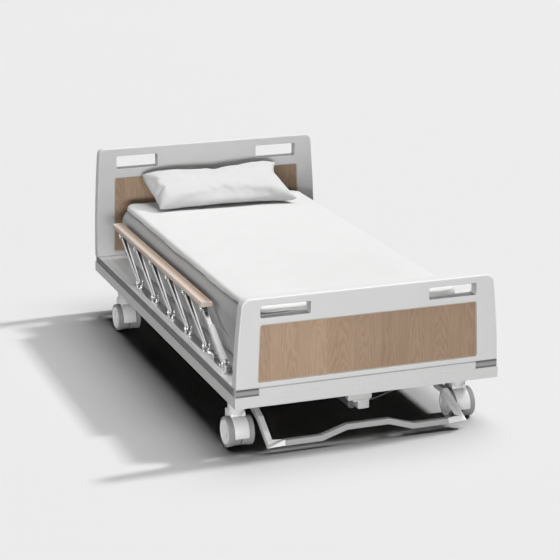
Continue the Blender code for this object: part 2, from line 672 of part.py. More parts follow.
# ---------------------------------------------------------------- chassis and lift
def chassis(looks):
    wall = MEMBER_WALL
    longs = [channel(1, CASTER_FRONT_Y, CASTER_REAR_Y, s * CHASSIS_LONG_X, CHASSIS_TUBE, CHASSIS_BOTTOM + 0.0006,
                     CHASSIS_TOP - 0.0006, wall) for s in (-1, 1)]
    reach = (CASTER_X["left"] + POST_R * 0.65, CASTER_X["right"] - POST_R * 0.65)
    crosses = [channel(0, *reach, y, CHASSIS_TUBE, CHASSIS_BOTTOM, CHASSIS_TOP, wall)
               for y in (CASTER_FRONT_Y, CASTER_REAR_Y)]
    posts, stem_bores = [], []
    for x in CASTER_X.values():
        for y in (CASTER_FRONT_Y, CASTER_REAR_Y):
            posts.append(rod(2, HOOD_TOP + 0.0015, 0.205, (x, y), POST_R, 16))
            stem_bores.append(rod(2, 0.100, 0.250, (x, y), 0.0122, 12))
    pivots = [(LIFT_FOOT_Y, LIFT_PIVOT_Z), (LIFT_HEAD_Y, LIFT_PIVOT_Z)]
    bores = [rod(0, -0.390, 0.390, p, PIN_BORE_R, 10) for p in pivots]
    bores.append(rod(0, -0.390, 0.390, BRAKE_PIVOT, PIN_BORE_R, 10))
    # The hanger carries the lift actuator under the front cross tube.
    hanger = box((-0.022, 0.022), (CASTER_FRONT_Y - 0.016, CASTER_FRONT_Y + 0.016), (0.1416, CHASSIS_TOP - 0.001))
    frame = weld(together(crosses), together(longs), together(posts), hanger)
    frame = cut(frame, together(stem_bores), together(bores))
    place("chassis", frame, looks["white_paint"], (0, 0, CHASSIS_BOTTOM))


def lift_arm(name, lower_y, with_lever, looks):
    """A U-shaped arm: a tube across the lower pivots, two bars, and a stub pin at each upper end."""
    up_y, up_z = lift_upper_pivot(lower_y)
    low = (lower_y, LIFT_PIVOT_Z)
    tube = rod(0, -LIFT_BAR_X, LIFT_BAR_X, low, 0.0145, 16)
    axle = rod(0, -0.384, 0.384, low, PIN_R)
    bars, stubs = [], []
    angle = math.degrees(LIFT_REST)
    outline = (arc(low, 0.0155, angle + 90, angle + 270, 6)
               + arc((up_y, up_z), 0.0155, angle - 90, angle + 90, 6))
    for s in (-1, 1):
        x = s * LIFT_BAR_X
        bars.append(prism(outline, 0, x - 0.006, x + 0.006))
        stubs.append(rod(0, *sorted((x, s * (LIFT_BAR_X + 0.046))), (up_y, up_z), PIN_R))
    arm = weld(tube, axle, together(bars), together(stubs))
    if with_lever:
        rest = -LIFT_TRAVEL / 2
        pin = (lower_y + LIFT_LEVER * math.sin(rest), LIFT_PIVOT_Z - LIFT_LEVER * math.cos(rest))
        outline = [(lower_y - 0.012, LIFT_PIVOT_Z), (lower_y + 0.010, LIFT_PIVOT_Z - 0.002),
                   (pin[0] + 0.011, pin[1] - 0.007), (pin[0] - 0.011, pin[1] + 0.005)]
        plates = [prism(outline, 0, *sorted((s * FORK_INNER, s * FORK_OUTER))) for s in (-1, 1)]
        arm = weld(arm, together(plates), rod(0, -FORK_OUTER + 0.001, FORK_OUTER - 0.001, pin, ROD_R, 16))
    place(name, arm, looks["white_paint"], (0, *low))


def lift_actuator(looks):
    """The gear motor hangs under the foot end of the chassis and pushes the foot arm's lever."""
    rest = -LIFT_TRAVEL / 2
    z = LIFT_PIVOT_Z - LIFT_LEVER * (1 + math.cos(rest)) / 2
    case = prism(rounded_rectangle((-0.046, 0.136), (0.060, 0.171), 0.008, 3), 1, -0.950, -0.9178)
    gear = prism(rounded_rectangle((-0.004, z - 0.008), (0.050, 0.1413), 0.006, 2), 1, -0.946, -0.880)
    collar = prism(rounded_rectangle((-0.026, z - 0.024), (0.026, z + 0.024), 0.008, 2), 1, -0.915, -0.855)
    tube = rod(1, -0.870, -0.735, (0, z), TUBE_R, 18)
    body = weld(case, gear, collar, tube)
    tip = LIFT_FOOT_Y + LIFT_LEVER * math.sin(rest) - ROD_R - ROLLER_GAP
    bore = rod(1, -0.850, -0.700, (0, z), ROD_BORE_R, 18)
    place("lift_actuator", cut(body, bore), looks["grey_plastic"], (0, -0.735, z))
    shaft = rod(1, -0.846, tip, (0, z), ROD_R, 18)
    pad = rod(1, tip - PAD_THICKNESS, tip + 0.0005, (0, z), PAD_R, 18)
    place("lift_actuator_rod", weld(shaft, pad), looks["bright_steel"], (0, tip, z))


# ---------------------------------------------------------------- casters
def wheel_mesh(look):
    """Two wheels on one axle, turned about X through the wheel centre. The narrow core runs under the hood."""
    web = 0.0060
    half = WHEEL_HALF_W
    tyre_in = half - TYRE_W
    side = [(0.0, 0.0055), (web, 0.0055), (web, CORE_R), (tyre_in, CORE_R), (tyre_in, WHEEL_R),
            (half - 0.006, WHEEL_R), (half, WHEEL_R - 0.007)]
    profile = [(-x, r) for x, r in reversed(side[1:])] + side[1:]
    mesh = bpy.data.meshes.new("wheel_pair")
    bm = lathe(profile, 24)
    bm.to_mesh(mesh)
    bm.free()
    mesh.materials.append(look)
    mesh.shade_smooth()
    mesh.set_sharp_from_angle(angle=math.radians(30))
    return mesh


def hood_mesh(look):
    """The fork between the wheels, with a shell over their narrow cores and the swivel stem on top."""
    inner, outer = CORE_R + 0.0018, WHEEL_R + 0.0040
    neck_top = HOOD_TOP - WHEEL_R
    shell_outline = (arc((0, 0), outer, 192, 112, 7) + [(-0.020, neck_top), (outer - 0.002, neck_top)]
                     + [(outer - 0.002, 0.004)] + arc((0, 0), inner, 4, 192, 14))
    shell = prism(shell_outline, 0, -HOOD_HALF_W, HOOD_HALF_W)
    web = prism([(-0.011, -0.008), (0.011, -0.008), (0.015, inner + 0.004), (-0.015, inner + 0.004)], 0, -0.0050, 0.0050)
    hood = cut(weld(shell, web), rod(0, -0.020, 0.020, (0, 0), 0.0062, 12))
    stem = rod(2, neck_top - 0.008, 0.196 - WHEEL_R, (0, CASTER_TRAIL), 0.0110, 12)
    hood = weld(hood, stem)
    moved(hood, (0, -CASTER_TRAIL, 0))
    mesh = bpy.data.meshes.new("caster_hood")
    hood.to_mesh(mesh)
    hood.free()
    mesh.materials.append(look)
    mesh.shade_smooth()
    mesh.set_sharp_from_angle(angle=math.radians(30))
    return mesh


def casters(looks):
    wheel, hood = wheel_mesh(looks["grey_rubber"]), hood_mesh(looks["white_plastic"])
    for end, y in (("foot", CASTER_FRONT_Y), ("head", CASTER_REAR_Y)):
        for side, x in CASTER_X.items():
            place(f"caster_hood_{end}_{side}", hood, None, (x, y, WHEEL_R))
            place(f"caster_wheels_{end}_{side}", wheel, None, (x, y - CASTER_TRAIL, WHEEL_R))


# ---------------------------------------------------------------- brake bar
def brake(looks):
    """A white frame that turns on a shaft across the chassis, with a grey foot bar between its ends."""
    half = BRAKE_TUBE / 2
    kinks = {"left": ((-0.876, 0.1365), (-0.945, 0.117)), "right": ((-0.868, 0.134), (-0.945, 0.134))}
    bar_end = BRAKE_CORNER_X - 0.063
    shaft = rod(0, BRAKE_ARM_X["left"], BRAKE_ARM_X["right"], BRAKE_PIVOT, 0.0095, 16)
    arms = []
    for side, x in BRAKE_ARM_X.items():
        s = math.copysign(1, x)
        start = (x, BRAKE_PIVOT[0] + 0.012, BRAKE_PIVOT[1] + 0.006)
        path = [start] + [(x, *kink) for kink in kinks[side]]
        path += [(s * BRAKE_CORNER_X, BRAKE_BAR_Y, BRAKE_BAR_Z), (s * bar_end, BRAKE_BAR_Y, BRAKE_BAR_Z)]
        arms.append(sweep(path, half, half, (0, 0.25, 1)))
    frame = weld(shaft, together(arms))
    # Square sockets let the foot bar's ends plug into the frame's ends.
    plug, depth = 0.0060, 0.030
    socket = plug + GAP
    z, y = BRAKE_BAR_Z, BRAKE_BAR_Y
    holes = [box(sorted((s * (bar_end - 0.010), s * (bar_end + depth + 0.001))), (y - socket, y + socket),
                 (z - socket, z + socket)) for s in (-1, 1)]
    frame = cut(frame, together(holes))
    place("brake_frame", frame, looks["white_paint"], (0, *BRAKE_PIVOT))
    end = bar_end - GAP
    path = [(-end, y, z), (-0.200, y, z), (-0.092, y, z + BRAKE_HUMP), (0.092, y, z + BRAKE_HUMP),
            (0.200, y, z), (end, y, z)]
    bar = sweep(path, half, half, (0, 0, 1))
    plugs = [box(sorted((s * (end - 0.010), s * (end + depth))), (y - plug, y + plug), (z - plug, z + plug))
             for s in (-1, 1)]
    place("brake_foot_bar", weld(bar, together(plugs)), looks["grey_plastic"], (0, *BRAKE_PIVOT))


# ---------------------------------------------------------------- side rails
def ears(places, top, bottom, up):
    """Pairs of rounded ears, one pair at each (y, z) pivot. up is 1 for ears that stand, -1 for ears that hang."""
    solids = []
    for y, z in places:
        if up > 0:
            outline = [(y + EAR_R, bottom)] + arc((y, z), EAR_R, 0, 180, 3) + [(y - EAR_R, bottom)]
        else:
            outline = [(y - EAR_R, top)] + arc((y, z), EAR_R, 180, 360, 3) + [(y + EAR_R, top)]
        inner = POST_HALF + 0.0005
        for s in (-1, 1):
            solids.append(prism(outline, 0, *sorted((s * inner, s * (inner + EAR)))))
    return together(solids)


def pin_holes(places):
    return together([rod(0, -0.030, 0.030, p, RAIL_BORE_R, 6) for p in places])


def post_mesh(look):
    """A square post with rounded ends and a pin through each, lying along Y from its lower pin."""
    r = POST_HALF
    outline = arc((0, 0), r, 90, 270, 3) + arc((POST_LENGTH, 0), r, -90, 90, 3)
    bar = prism(outline, 0, -r, r)
    pins = [rod(0, -(r + EAR + 0.002), r + EAR + 0.002, (y, 0), RAIL_PIN_R, 6) for y in (0.0, POST_LENGTH)]
    bar = weld(bar, together(pins))
    mesh = bpy.data.meshes.new("rail_post")
    bar.to_mesh(mesh)
    bar.free()
    mesh.materials.append(look)
    mesh.shade_smooth()
    mesh.set_sharp_from_angle(angle=math.radians(30))
    return mesh


def side_rail(name, side, rest, post, looks):
    """side is -1 for the left rail and 1 for the right; rest is the posts' angle above level in this pose."""
    x = side * RAIL_X
    pivots = [(FIRST_POST_Y - POST_PITCH * i, RAIL_PIVOT_Z) for i in range(POSTS_PER_RAIL)]
    base = FRAME_TOP + LEDGE_THICKNESS + GAP
    thick = LOWER_RAIL["thickness"]
    half = LOWER_RAIL["half_w"]
    y0, y1 = LOWER_RAIL["y"]
    plate = box((-half, half), (y0, y1), (base, base + thick))
    rail = weld(plate, ears(pivots, None, base + thick / 2, 1))
    # A block at the foot end holds the release knob's shank.
    block = box((-0.014, 0.014), (y0 + 0.004, y0 + 0.028), (base + thick / 2, base + 0.030))
    knob_z = base + 0.018
    rail = cut(weld(rail, block), pin_holes(pivots), rod(1, y0 - 0.010, y0 + 0.018, (0, knob_z), 0.0048, 8))
    place(f"lower_rail_{name}", moved(rail, (x, 0, 0)), looks["polished_aluminium"], (x, y1, base))

    shank = rod(1, y0 - 0.008, y0 + 0.014, (0, knob_z), 0.0040, 8)
    knob = weld(shank, rod(1, y0 - 0.024, y0 - 0.004, (0, knob_z), 0.0100, 12))
    place(f"rail_release_{name}", moved(knob, (x, 0, 0)), looks["grey_plastic"], (x, y0, knob_z))

    step = (POST_LENGTH * math.cos(rest), POST_LENGTH * math.sin(rest))
    tops = [(y + step[0], z + step[1]) for y, z in pivots]
    low = tops[0][1] + TOP_RAIL["above_pivot"]
    head, foot = tops[0][0] + TOP_RAIL["overhang"][1], tops[-1][0] - TOP_RAIL["overhang"][0]
    half, height = TOP_RAIL["half_w"], TOP_RAIL["height"]
    outline = rounded_rectangle((-half, low), (half, low + height), 0.010, 2)
    grip = weld(prism(outline, 1, foot, head), ears(tops, low + 0.006, None, -1))
    grip = cut(grip, pin_holes(tops))
    place(f"top_rail_{name}", moved(grip, (x, 0, 0)), looks["wood_laminate"], (x, *tops[0]))

    for i, (y, z) in enumerate(pivots):
        place(f"rail_post_{name}_{i + 1}", post, None, (x, y, z), rest)


def main():
    clear_scene()
    looks = make_materials()
    upper_frame(looks)
    trim(looks)
    end_board("footboard", FOOTBOARD, -1, looks)
    end_board("headboard", HEADBOARD, 1, looks)
    platform(looks)
    mattress(looks)
    pillow(looks)
    platform_actuators(looks)
    control_box(looks)
    chassis(looks)
    lift_arm("lift_arm_foot", LIFT_FOOT_Y, True, looks)
    lift_arm("lift_arm_head", LIFT_HEAD_Y, False, looks)
    lift_actuator(looks)
    casters(looks)
    brake(looks)
    post = post_mesh(looks["polished_aluminium"])
    side_rail("left", -1, RAISED_REST, post, looks)
    side_rail("right", 1, FOLDED_REST, post, looks)


main()
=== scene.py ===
import json
import math

import bmesh
import bpy
import numpy as np
from mathutils import Matrix, Vector, noise


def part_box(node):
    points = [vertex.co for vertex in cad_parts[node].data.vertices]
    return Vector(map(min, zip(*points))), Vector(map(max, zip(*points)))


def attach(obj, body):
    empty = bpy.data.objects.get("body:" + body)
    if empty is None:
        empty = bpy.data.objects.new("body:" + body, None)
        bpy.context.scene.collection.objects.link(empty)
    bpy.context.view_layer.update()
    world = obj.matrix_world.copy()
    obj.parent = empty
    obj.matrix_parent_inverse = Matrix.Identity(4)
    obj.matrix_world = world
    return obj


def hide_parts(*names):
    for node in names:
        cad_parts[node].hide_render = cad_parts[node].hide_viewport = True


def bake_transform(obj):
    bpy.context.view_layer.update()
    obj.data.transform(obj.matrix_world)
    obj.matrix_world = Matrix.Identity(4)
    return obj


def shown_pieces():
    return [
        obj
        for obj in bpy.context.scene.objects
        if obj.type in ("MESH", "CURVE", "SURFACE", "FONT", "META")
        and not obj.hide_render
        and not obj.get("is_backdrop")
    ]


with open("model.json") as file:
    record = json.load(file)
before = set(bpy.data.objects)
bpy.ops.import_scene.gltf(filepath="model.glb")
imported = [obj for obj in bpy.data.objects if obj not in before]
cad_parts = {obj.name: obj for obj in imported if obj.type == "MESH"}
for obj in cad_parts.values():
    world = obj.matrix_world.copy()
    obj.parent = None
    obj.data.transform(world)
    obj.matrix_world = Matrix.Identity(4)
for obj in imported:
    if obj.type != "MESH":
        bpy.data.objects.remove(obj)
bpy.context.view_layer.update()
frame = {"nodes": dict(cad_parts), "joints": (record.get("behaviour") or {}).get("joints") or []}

JOINTS = {j["name"]: j for j in frame["joints"]}
SIDES = (("left", -1), ("right", 1))
ENDS = ("foot", "head")
# The camera's place in metres, its angles below level and to the right in degrees, and its lens in millimetres.
CAMERA = {"place": (-2.7618, -7.5110, 2.7243), "down": 16.2393, "turn": 20.2535, "lens": 119.01, "sensor": 36.0}


def box(node):
    """The low and high corners of a CAD node."""
    return [Vector(corner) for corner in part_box(node)]


def pivot(joint):
    return Vector(JOINTS[joint]["pos_m"])


# ---- materials
class Nodes:
    """Short ways to add nodes to a node tree."""

    def __init__(self, tree, space="Object"):
        self.tree = tree
        self.place = self.add("ShaderNodeTexCoord").outputs[space]

    def feed(self, socket, value):
        if isinstance(value, bpy.types.NodeSocket):
            self.tree.links.new(value, socket)
        else:
            socket.default_value = value

    def add(self, kind, inputs=(), **settings):
        made = self.tree.nodes.new(kind)
        for key, value in settings.items():
            setattr(made, key, value)
        for key, value in inputs:
            self.feed(made.inputs[key], value)
        return made

    def scaled(self, scale, turn=(0, 0, 0), source=None):
        return self.add("ShaderNodeMapping", [("Vector", source or self.place), ("Scale", scale),
                                              ("Rotation", turn)]).outputs["Vector"]

    def noise(self, scale, detail=2.0, roughness=0.5, stretch=None, source=None):
        where = source or self.place
        if stretch:
            where = self.scaled(stretch, source=where)
        return self.add("ShaderNodeTexNoise", [("Vector", where), ("Scale", scale), ("Detail", detail),
                                               ("Roughness", roughness)]).outputs["Fac"]

    def maths(self, operation, a, b=0.0, c=0.0):
        return self.add("ShaderNodeMath", [(0, a), (1, b), (2, c)], operation=operation).outputs[0]

    def times(self, a, b):
        return self.maths("MULTIPLY", a, b)

    def plus(self, a, b):
        return self.maths("ADD", a, b)

    def minus(self, a, b):
        return self.maths("SUBTRACT", a, b)

    def spread(self, value, low, high, from_low=0.0, from_high=1.0, **settings):
        inputs = [("Value", value), ("From Min", from_low), ("From Max", from_high), ("To Min", low),
                  ("To Max", high)]
        return self.add("ShaderNodeMapRange", inputs, **settings).outputs[0]

    def ramp(self, value, stops):
        made = self.add("ShaderNodeValToRGB", [("Fac", value)])
        elements = made.color_ramp.elements
        while len(elements) < len(stops):
            elements.new(0.5)
        for element, (at, colour) in zip(elements, stops):
            element.position = at
            element.color = (*colour, 1.0)
        return made.outputs["Color"]

    def mix(self, share, a, b, mode="MIX"):
        a, b = ((*colour, 1.0) if isinstance(colour, tuple) else colour for colour in (a, b))
        inputs = [(0, share), (6, a), (7, b)]
        return self.add("ShaderNodeMix", inputs, data_type="RGBA", blend_type=mode).outputs[2]

    def bump(self, height, strength, distance, before=None):
        links = [("Height", height), ("Strength", strength), ("Distance", distance)]
        if before:
            links.append(("Normal", before))
        return self.add("ShaderNodeBump", links).outputs["Normal"]

    def edges(self):
        """About 0.5 on flat surface, more on outer edges and less in corners."""
        return self.add("ShaderNodeNewGeometry").outputs["Pointiness"]

    def axis(self, which, source=None):
        return self.add("ShaderNodeSeparateXYZ", [("Vector", source or self.place)]).outputs[which]


class Look(Nodes):
    """A Principled material."""

    def __init__(self, name, colour, roughness, metallic=0.0):
        self.material = bpy.data.materials.new(name)
        self.material.use_nodes = True
        super().__init__(self.material.node_tree)
        self.put("Base Color", (*colour, 1.0))
        self.put("Roughness", roughness)
        self.put("Metallic", metallic)
        self.material.diffuse_color = (*colour, 1.0)

    def put(self, name, value):
        self.feed(self.tree.nodes["Principled BSDF"].inputs[name], value)


def tinted(colour, factor):
    return tuple(min(1.0, c * factor) for c in colour)


def painted(name, colour, roughness=0.40, texture=900.0, strength=0.10):
    """Powder coat or fine-textured plastic: slight mottling, micro texture, edges that catch wear."""
    look = Look(name, colour, roughness)
    cloud = look.noise(7.0, 3.0)
    base = look.mix(cloud, tinted(colour, 0.965), tinted(colour, 1.02))
    worn = look.spread(look.edges(), 0.0, 1.0, 0.53, 0.62)
    base = look.mix(look.times(worn, look.noise(60.0)), base, tinted(colour, 0.90))
    # Darker in concave corners, in patches.
    hollow_darkening = look.spread(look.edges(), 0.30, 0.0, 0.40, 0.49)
    base = look.mix(look.times(hollow_darkening, look.noise(25.0)), base, tinted(colour, 0.80))
    look.put("Base Color", base)
    look.put("Roughness", look.spread(look.noise(35.0, 4.0), roughness - 0.06, roughness + 0.08))
    look.put("Normal", look.bump(look.noise(texture, 2.0), strength, 0.0006))
    return look.material


def metal(name, colour, roughness, grain, strength=0.12):
    """Bright metal with drawn streaks along one axis. grain stretches the noise across that axis."""
    look = Look(name, colour, roughness, 1.0)
    streak = look.noise(1.0, 5.0, 0.6, stretch=grain)
    look.put("Base Color", look.mix(streak, tinted(colour, 0.86), tinted(colour, 1.06)))
    smear = look.noise(14.0, 3.0)
    look.put("Roughness", look.plus(look.spread(streak, roughness * 0.7, roughness * 1.4),
                                     look.spread(smear, -0.03, 0.05)))
    look.put("Normal", look.bump(streak, strength, 0.0003))
    return look.material


def rubber(name, colour, roughness=0.7):
    look = Look(name, colour, roughness)
    dust = look.noise(18.0, 5.0)
    look.put("Base Color", look.mix(look.spread(dust, 0.0, 0.55, 0.40, 0.75), colour, tinted(colour, 1.35)))
    look.put("Roughness", look.spread(look.noise(45.0), roughness - 0.08, roughness + 0.12))
    look.put("Normal", look.bump(look.noise(1400.0, 2.0), 0.25, 0.0004))
    return look.material


def planks(name, light, dark, plank, along, edge=None):
    """Oak-look laminate. along is the grain's axis, and the planks are laid side by side across it.

    edge is the distance from the bed's middle where a paler outer edge band starts and where it is full. The
    paler outer band is painted light, and the darker inner part is painted shade from the mattress.
    """
    look = Look(name, light, 0.48)
    across, length = look.axis("X" if along != "X" else "Y"), look.axis(along)
    wander = look.spread(look.noise(3.0, 1.0), -0.008, 0.008)
    step = look.maths("DIVIDE", look.plus(look.plus(across, 7.03), wander), plank)
    index = look.maths("FLOOR", step)
    inside = look.minus(look.minus(step, index), 0.5)
    chance = look.add("ShaderNodeTexWhiteNoise", [("W", index)], noise_dimensions="1D").outputs["Value"]
    other = look.add("ShaderNodeTexWhiteNoise", [("W", look.plus(index, 31.7))],
                     noise_dimensions="1D").outputs["Value"]
    shift = look.times(chance, 9.0)
    run = look.plus(length, shift)
    place = look.add("ShaderNodeCombineXYZ", [("X", across), ("Y", shift), ("Z", run)]).outputs[0]
    sway = look.noise(1.0, 3.0, 0.55, stretch=(16.0, 1.0, 3.2), source=place)
    centre = look.minus(inside, look.spread(other, -0.30, 0.30))
    arch = look.times(look.times(centre, centre), 3.4)
    tongue = look.times(look.minus(look.maths("FRACT", look.times(run, 1.9)), 0.5),
                        look.spread(chance, 0.5, 2.2))
    field = look.plus(look.plus(arch, tongue), look.times(sway, 1.5))
    rings = look.maths("SINE", look.times(field, 30.0))
    rings = look.spread(rings, 0.0, 1.0, -1.0, 1.0)
    fibre = look.noise(1.0, 6.0, 0.62, stretch=(330.0, 1.0, 9.0), source=place)
    pores = look.noise(1.0, 2.0, 0.6, stretch=(950.0, 1.0, 26.0), source=place)
    pores = look.spread(pores, 0.0, 1.0, 0.60, 0.74)
    blotch = look.noise(1.0, 3.0, 0.5, stretch=(9.0, 1.0, 2.6), source=place)
    figure = look.plus(look.times(rings, 0.20), look.times(fibre, 0.62))
    figure = look.plus(figure, look.times(blotch, 0.36))
    base = look.ramp(look.spread(figure, 0.0, 1.0, 0.32, 0.95), [(0.0, dark), (0.45, tuple(
        (a + b) / 2 for a, b in zip(light, dark))), (1.0, light)])
    tone = look.spread(other, 0.86, 1.10)
    base = look.mix(1.0, base, look.add("ShaderNodeCombineColor", [("Red", tone), ("Green", tone),
                                                                  ("Blue", tone)]).outputs[0], "MULTIPLY")
    base = look.mix(look.times(pores, 0.32), base, tinted(dark, 0.62))
    if edge:
        # Painted light: a paler outer band; the darker inner part left beside it is painted shade from the
        # mattress.
        band = look.spread(look.maths("ABSOLUTE", look.axis("X")), 0.0, 0.85, *edge)
        base = look.mix(band, base, (0.84, 0.72, 0.64))
    look.put("Base Color", base)
    look.put("Specular IOR Level", 0.25)
    look.put("Roughness", look.spread(figure, 0.62, 0.50))
    height = look.minus(figure, look.times(pores, 0.8))
    look.put("Normal", look.bump(height, 0.18, 0.0006))
    return look.material


def woven(name, colour, shade, thread=1500.0, strength=0.30, sheen=0.25):
    """Plain-weave cotton: crossing threads, uneven yarn and soft creases."""
    look = Look(name, colour, 0.92)
    x, y, z = (look.axis(k) for k in "XYZ")
    across = look.maths("SINE", look.times(look.plus(x, look.times(z, 0.7)), thread * 2))
    down = look.maths("SINE", look.times(look.plus(y, look.times(z, 0.7)), thread * 2))
    weave = look.times(across, down)
    yarn = look.noise(420.0, 3.0, 0.6)
    soft = look.noise(9.0, 4.0, 0.55)
    tone = look.plus(look.times(soft, 0.7), look.times(yarn, 0.3))
    look.put("Base Color", look.mix(look.spread(tone, 0.0, 1.0, 0.25, 0.75), shade, colour))
    look.put("Roughness", look.spread(yarn, 0.86, 0.98))
    look.put("Sheen Weight", sheen)
    look.put("Sheen Roughness", 0.45)
    fine = look.bump(look.plus(look.times(weave, 0.5), yarn), strength, 0.0005)
    look.put("Normal", look.bump(look.noise(26.0, 4.0, 0.5), 0.16, 0.010, fine))
    return look.material


WHITE = (0.80, 0.80, 0.795)
M = {
    "paint": painted("white_powder_coat", WHITE, 0.38),
    "shell": painted("moulded_white", (0.80, 0.80, 0.797), 0.36, 1500.0, 0.07),
    "hood": painted("moulded_white_gloss", (0.85, 0.85, 0.845), 0.30, 1800.0, 0.04),
    "platform": painted("platform_grey", (0.56, 0.56, 0.56), 0.50, 700.0, 0.20),
    "case": painted("actuator_grey", (0.50, 0.50, 0.495), 0.45, 1100.0, 0.15),
    "motor": painted("motor_grey", (0.66, 0.66, 0.655), 0.42, 1100.0, 0.12),
    "endcap": painted("handrail_end", (0.72, 0.62, 0.54), 0.45, 1200.0, 0.08),
    "hub": painted("hub_white", (0.95, 0.95, 0.945), 0.28, 1800.0, 0.03),
    "trim": painted("panel_trim", (0.58, 0.50, 0.42), 0.45, 1400.0, 0.06),
    "bar": painted("foot_bar_grey", (0.46, 0.46, 0.458), 0.50, 1200.0, 0.18),
    "strip": rubber("bumper_grey", (0.205, 0.205, 0.203), 0.60),
    "tyre": rubber("tyre_grey", (0.31, 0.31, 0.308), 0.65),
    "cable": rubber("cable_grey", (0.10, 0.10, 0.10), 0.55),
    "post": metal("drawn_aluminium", (0.90, 0.90, 0.905), 0.13, (700.0, 9.0, 700.0)),
    "rail": metal("rail_aluminium", (0.80, 0.80, 0.80), 0.28, (500.0, 6.0, 500.0)),
    "cast": metal("bright_casting", (0.88, 0.88, 0.88), 0.14, (60.0, 60.0, 60.0), 0.08),
    "rod": metal("ground_steel", (0.66, 0.66, 0.66), 0.22, (600.0, 20.0, 600.0)),
    "panel": planks("oak_panel", (0.55, 0.395, 0.280), (0.37, 0.250, 0.168), 0.118, "Z"),
    # The handrail's paler outer band is painted light, and its darker inner part is painted shade from the
    # mattress.
    "handrail": planks("oak_rail", (0.40, 0.30, 0.23), (0.29, 0.205, 0.152), 0.300, "Y", (0.520, 0.545)),
    "sheet": woven("sheet_cotton", (0.85, 0.85, 0.845), (0.82, 0.82, 0.815)),
    # The cover's grey is partly its own colour and partly painted shade for the mattress's sides, which stand
    # in shadow.
    "cover_with_painted_shade": woven("mattress_cover", (0.50, 0.50, 0.498), (0.46, 0.46, 0.458), 700.0, 0.45),
    # A near-black strip in the crease under the hem: painted shade.
    "crease_shade": woven("mattress_seam", (0.20, 0.20, 0.20), (0.16, 0.16, 0.16), 700.0, 0.45),
    "pillow": woven("pillow_cotton", (0.74, 0.74, 0.735), (0.69, 0.69, 0.69), 1300.0, 0.35),
}


def ledge_look():
    """Anodised plate with long drawn streaks and scuffs along the bed."""
    look = Look("brushed_ledge", (0.62, 0.62, 0.62), 0.40, 0.40)
    streak = look.noise(1.0, 6.0, 0.65, stretch=(260.0, 3.0, 1.0))
    wide = look.noise(1.0, 3.0, 0.5, stretch=(38.0, 0.9, 1.0))
    tone = look.plus(look.times(streak, 0.6), look.times(wide, 0.5))
    stops = [(at, (grey, grey, grey)) for at, grey in ((0.0, 0.62), (0.5, 0.80), (1.0, 0.96))]
    look.put("Base Color", look.ramp(look.spread(tone, 0.0, 1.0, 0.30, 0.80), stops))
    look.put("Roughness", look.spread(streak, 0.28, 0.50))
    look.put("Normal", look.bump(streak, 0.22, 0.0004))
    return look.material


def corner_look():
    """Dark rubber with a lighter raised band along the middle of its height."""
    look = Look("corner_rubber", (0.15, 0.15, 0.148), 0.60)
    height = look.axis("Z", look.add("ShaderNodeTexCoord").outputs["Generated"])
    band = look.maths("COMPARE", height, 0.5, 0.27)
    dust = look.spread(look.noise(20.0, 4.0), 0.0, 0.2, 0.4, 0.8)
    base = look.mix(band, (0.15, 0.15, 0.148), (0.36, 0.36, 0.358))
    look.put("Base Color", look.mix(dust, base, (0.34, 0.34, 0.338)))
    look.put("Roughness", look.spread(look.noise(45.0), 0.52, 0.68))
    look.put("Normal", look.bump(look.noise(1400.0, 2.0), 0.25, 0.0004))
    return look.material


M["ledge"], M["corner"] = ledge_look(), corner_look()


# ---- mesh helpers
def finish_piece(name, bm, looks, body=None, replaces=None, angle=32.0, weighted=False):
    """Makes a piece with the named looks, riding on a body. replaces is the CAD node that it stands for."""
    mesh = bpy.data.meshes.new(name)
    bm.to_mesh(mesh)
    bm.free()
    for look in [looks] if isinstance(looks, str) else looks:
        mesh.materials.append(M[look])
    mesh.shade_smooth()
    mesh.set_sharp_from_angle(angle=math.radians(angle))
    obj = bpy.data.objects.new(name, mesh)
    bpy.context.scene.collection.objects.link(obj)
    if weighted:
        step = obj.modifiers.new("normals", "WEIGHTED_NORMAL")
        step.keep_sharp = True
    if body:
        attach(obj, body)
    if replaces:
        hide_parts(replaces)
    return obj


def arc(centre, radius, start, end, steps):
    angles = [math.radians(start + (end - start) * i / steps) for i in range(steps + 1)]
    return [(centre[0] + radius * math.cos(a), centre[1] + radius * math.sin(a)) for a in angles]


def rounded_rectangle(x0, x1, z0, z1, r, steps=5):
    return (arc((x1 - r, z1 - r), r, 0, 90, steps) + arc((x0 + r, z1 - r), r, 90, 180, steps)
            + arc((x0 + r, z0 + r), r, 180, 270, steps) + arc((x1 - r, z0 + r), r, 270, 360, steps))


def area(outline):
    return sum(a[0] * b[1] - b[0] * a[1] for a, b in zip(outline, outline[1:] + outline[:1])) / 2


def inset(outline, distance):
    """The outline moved to its left by distance, which is inwards when it runs counter-clockwise."""
    points = [Vector(p) for p in outline]
    moved = []
    for i, point in enumerate(points):
        before = (point - points[i - 1]).normalized()
        after = (points[(i + 1) % len(points)] - point).normalized()
        first, second = Vector((-before.y, before.x)), Vector((-after.y, after.x))
        middle_way = (first + second).normalized()
        moved.append(point + middle_way * (distance / max(0.4, middle_way.dot(first))))
    return [tuple(p) for p in moved]


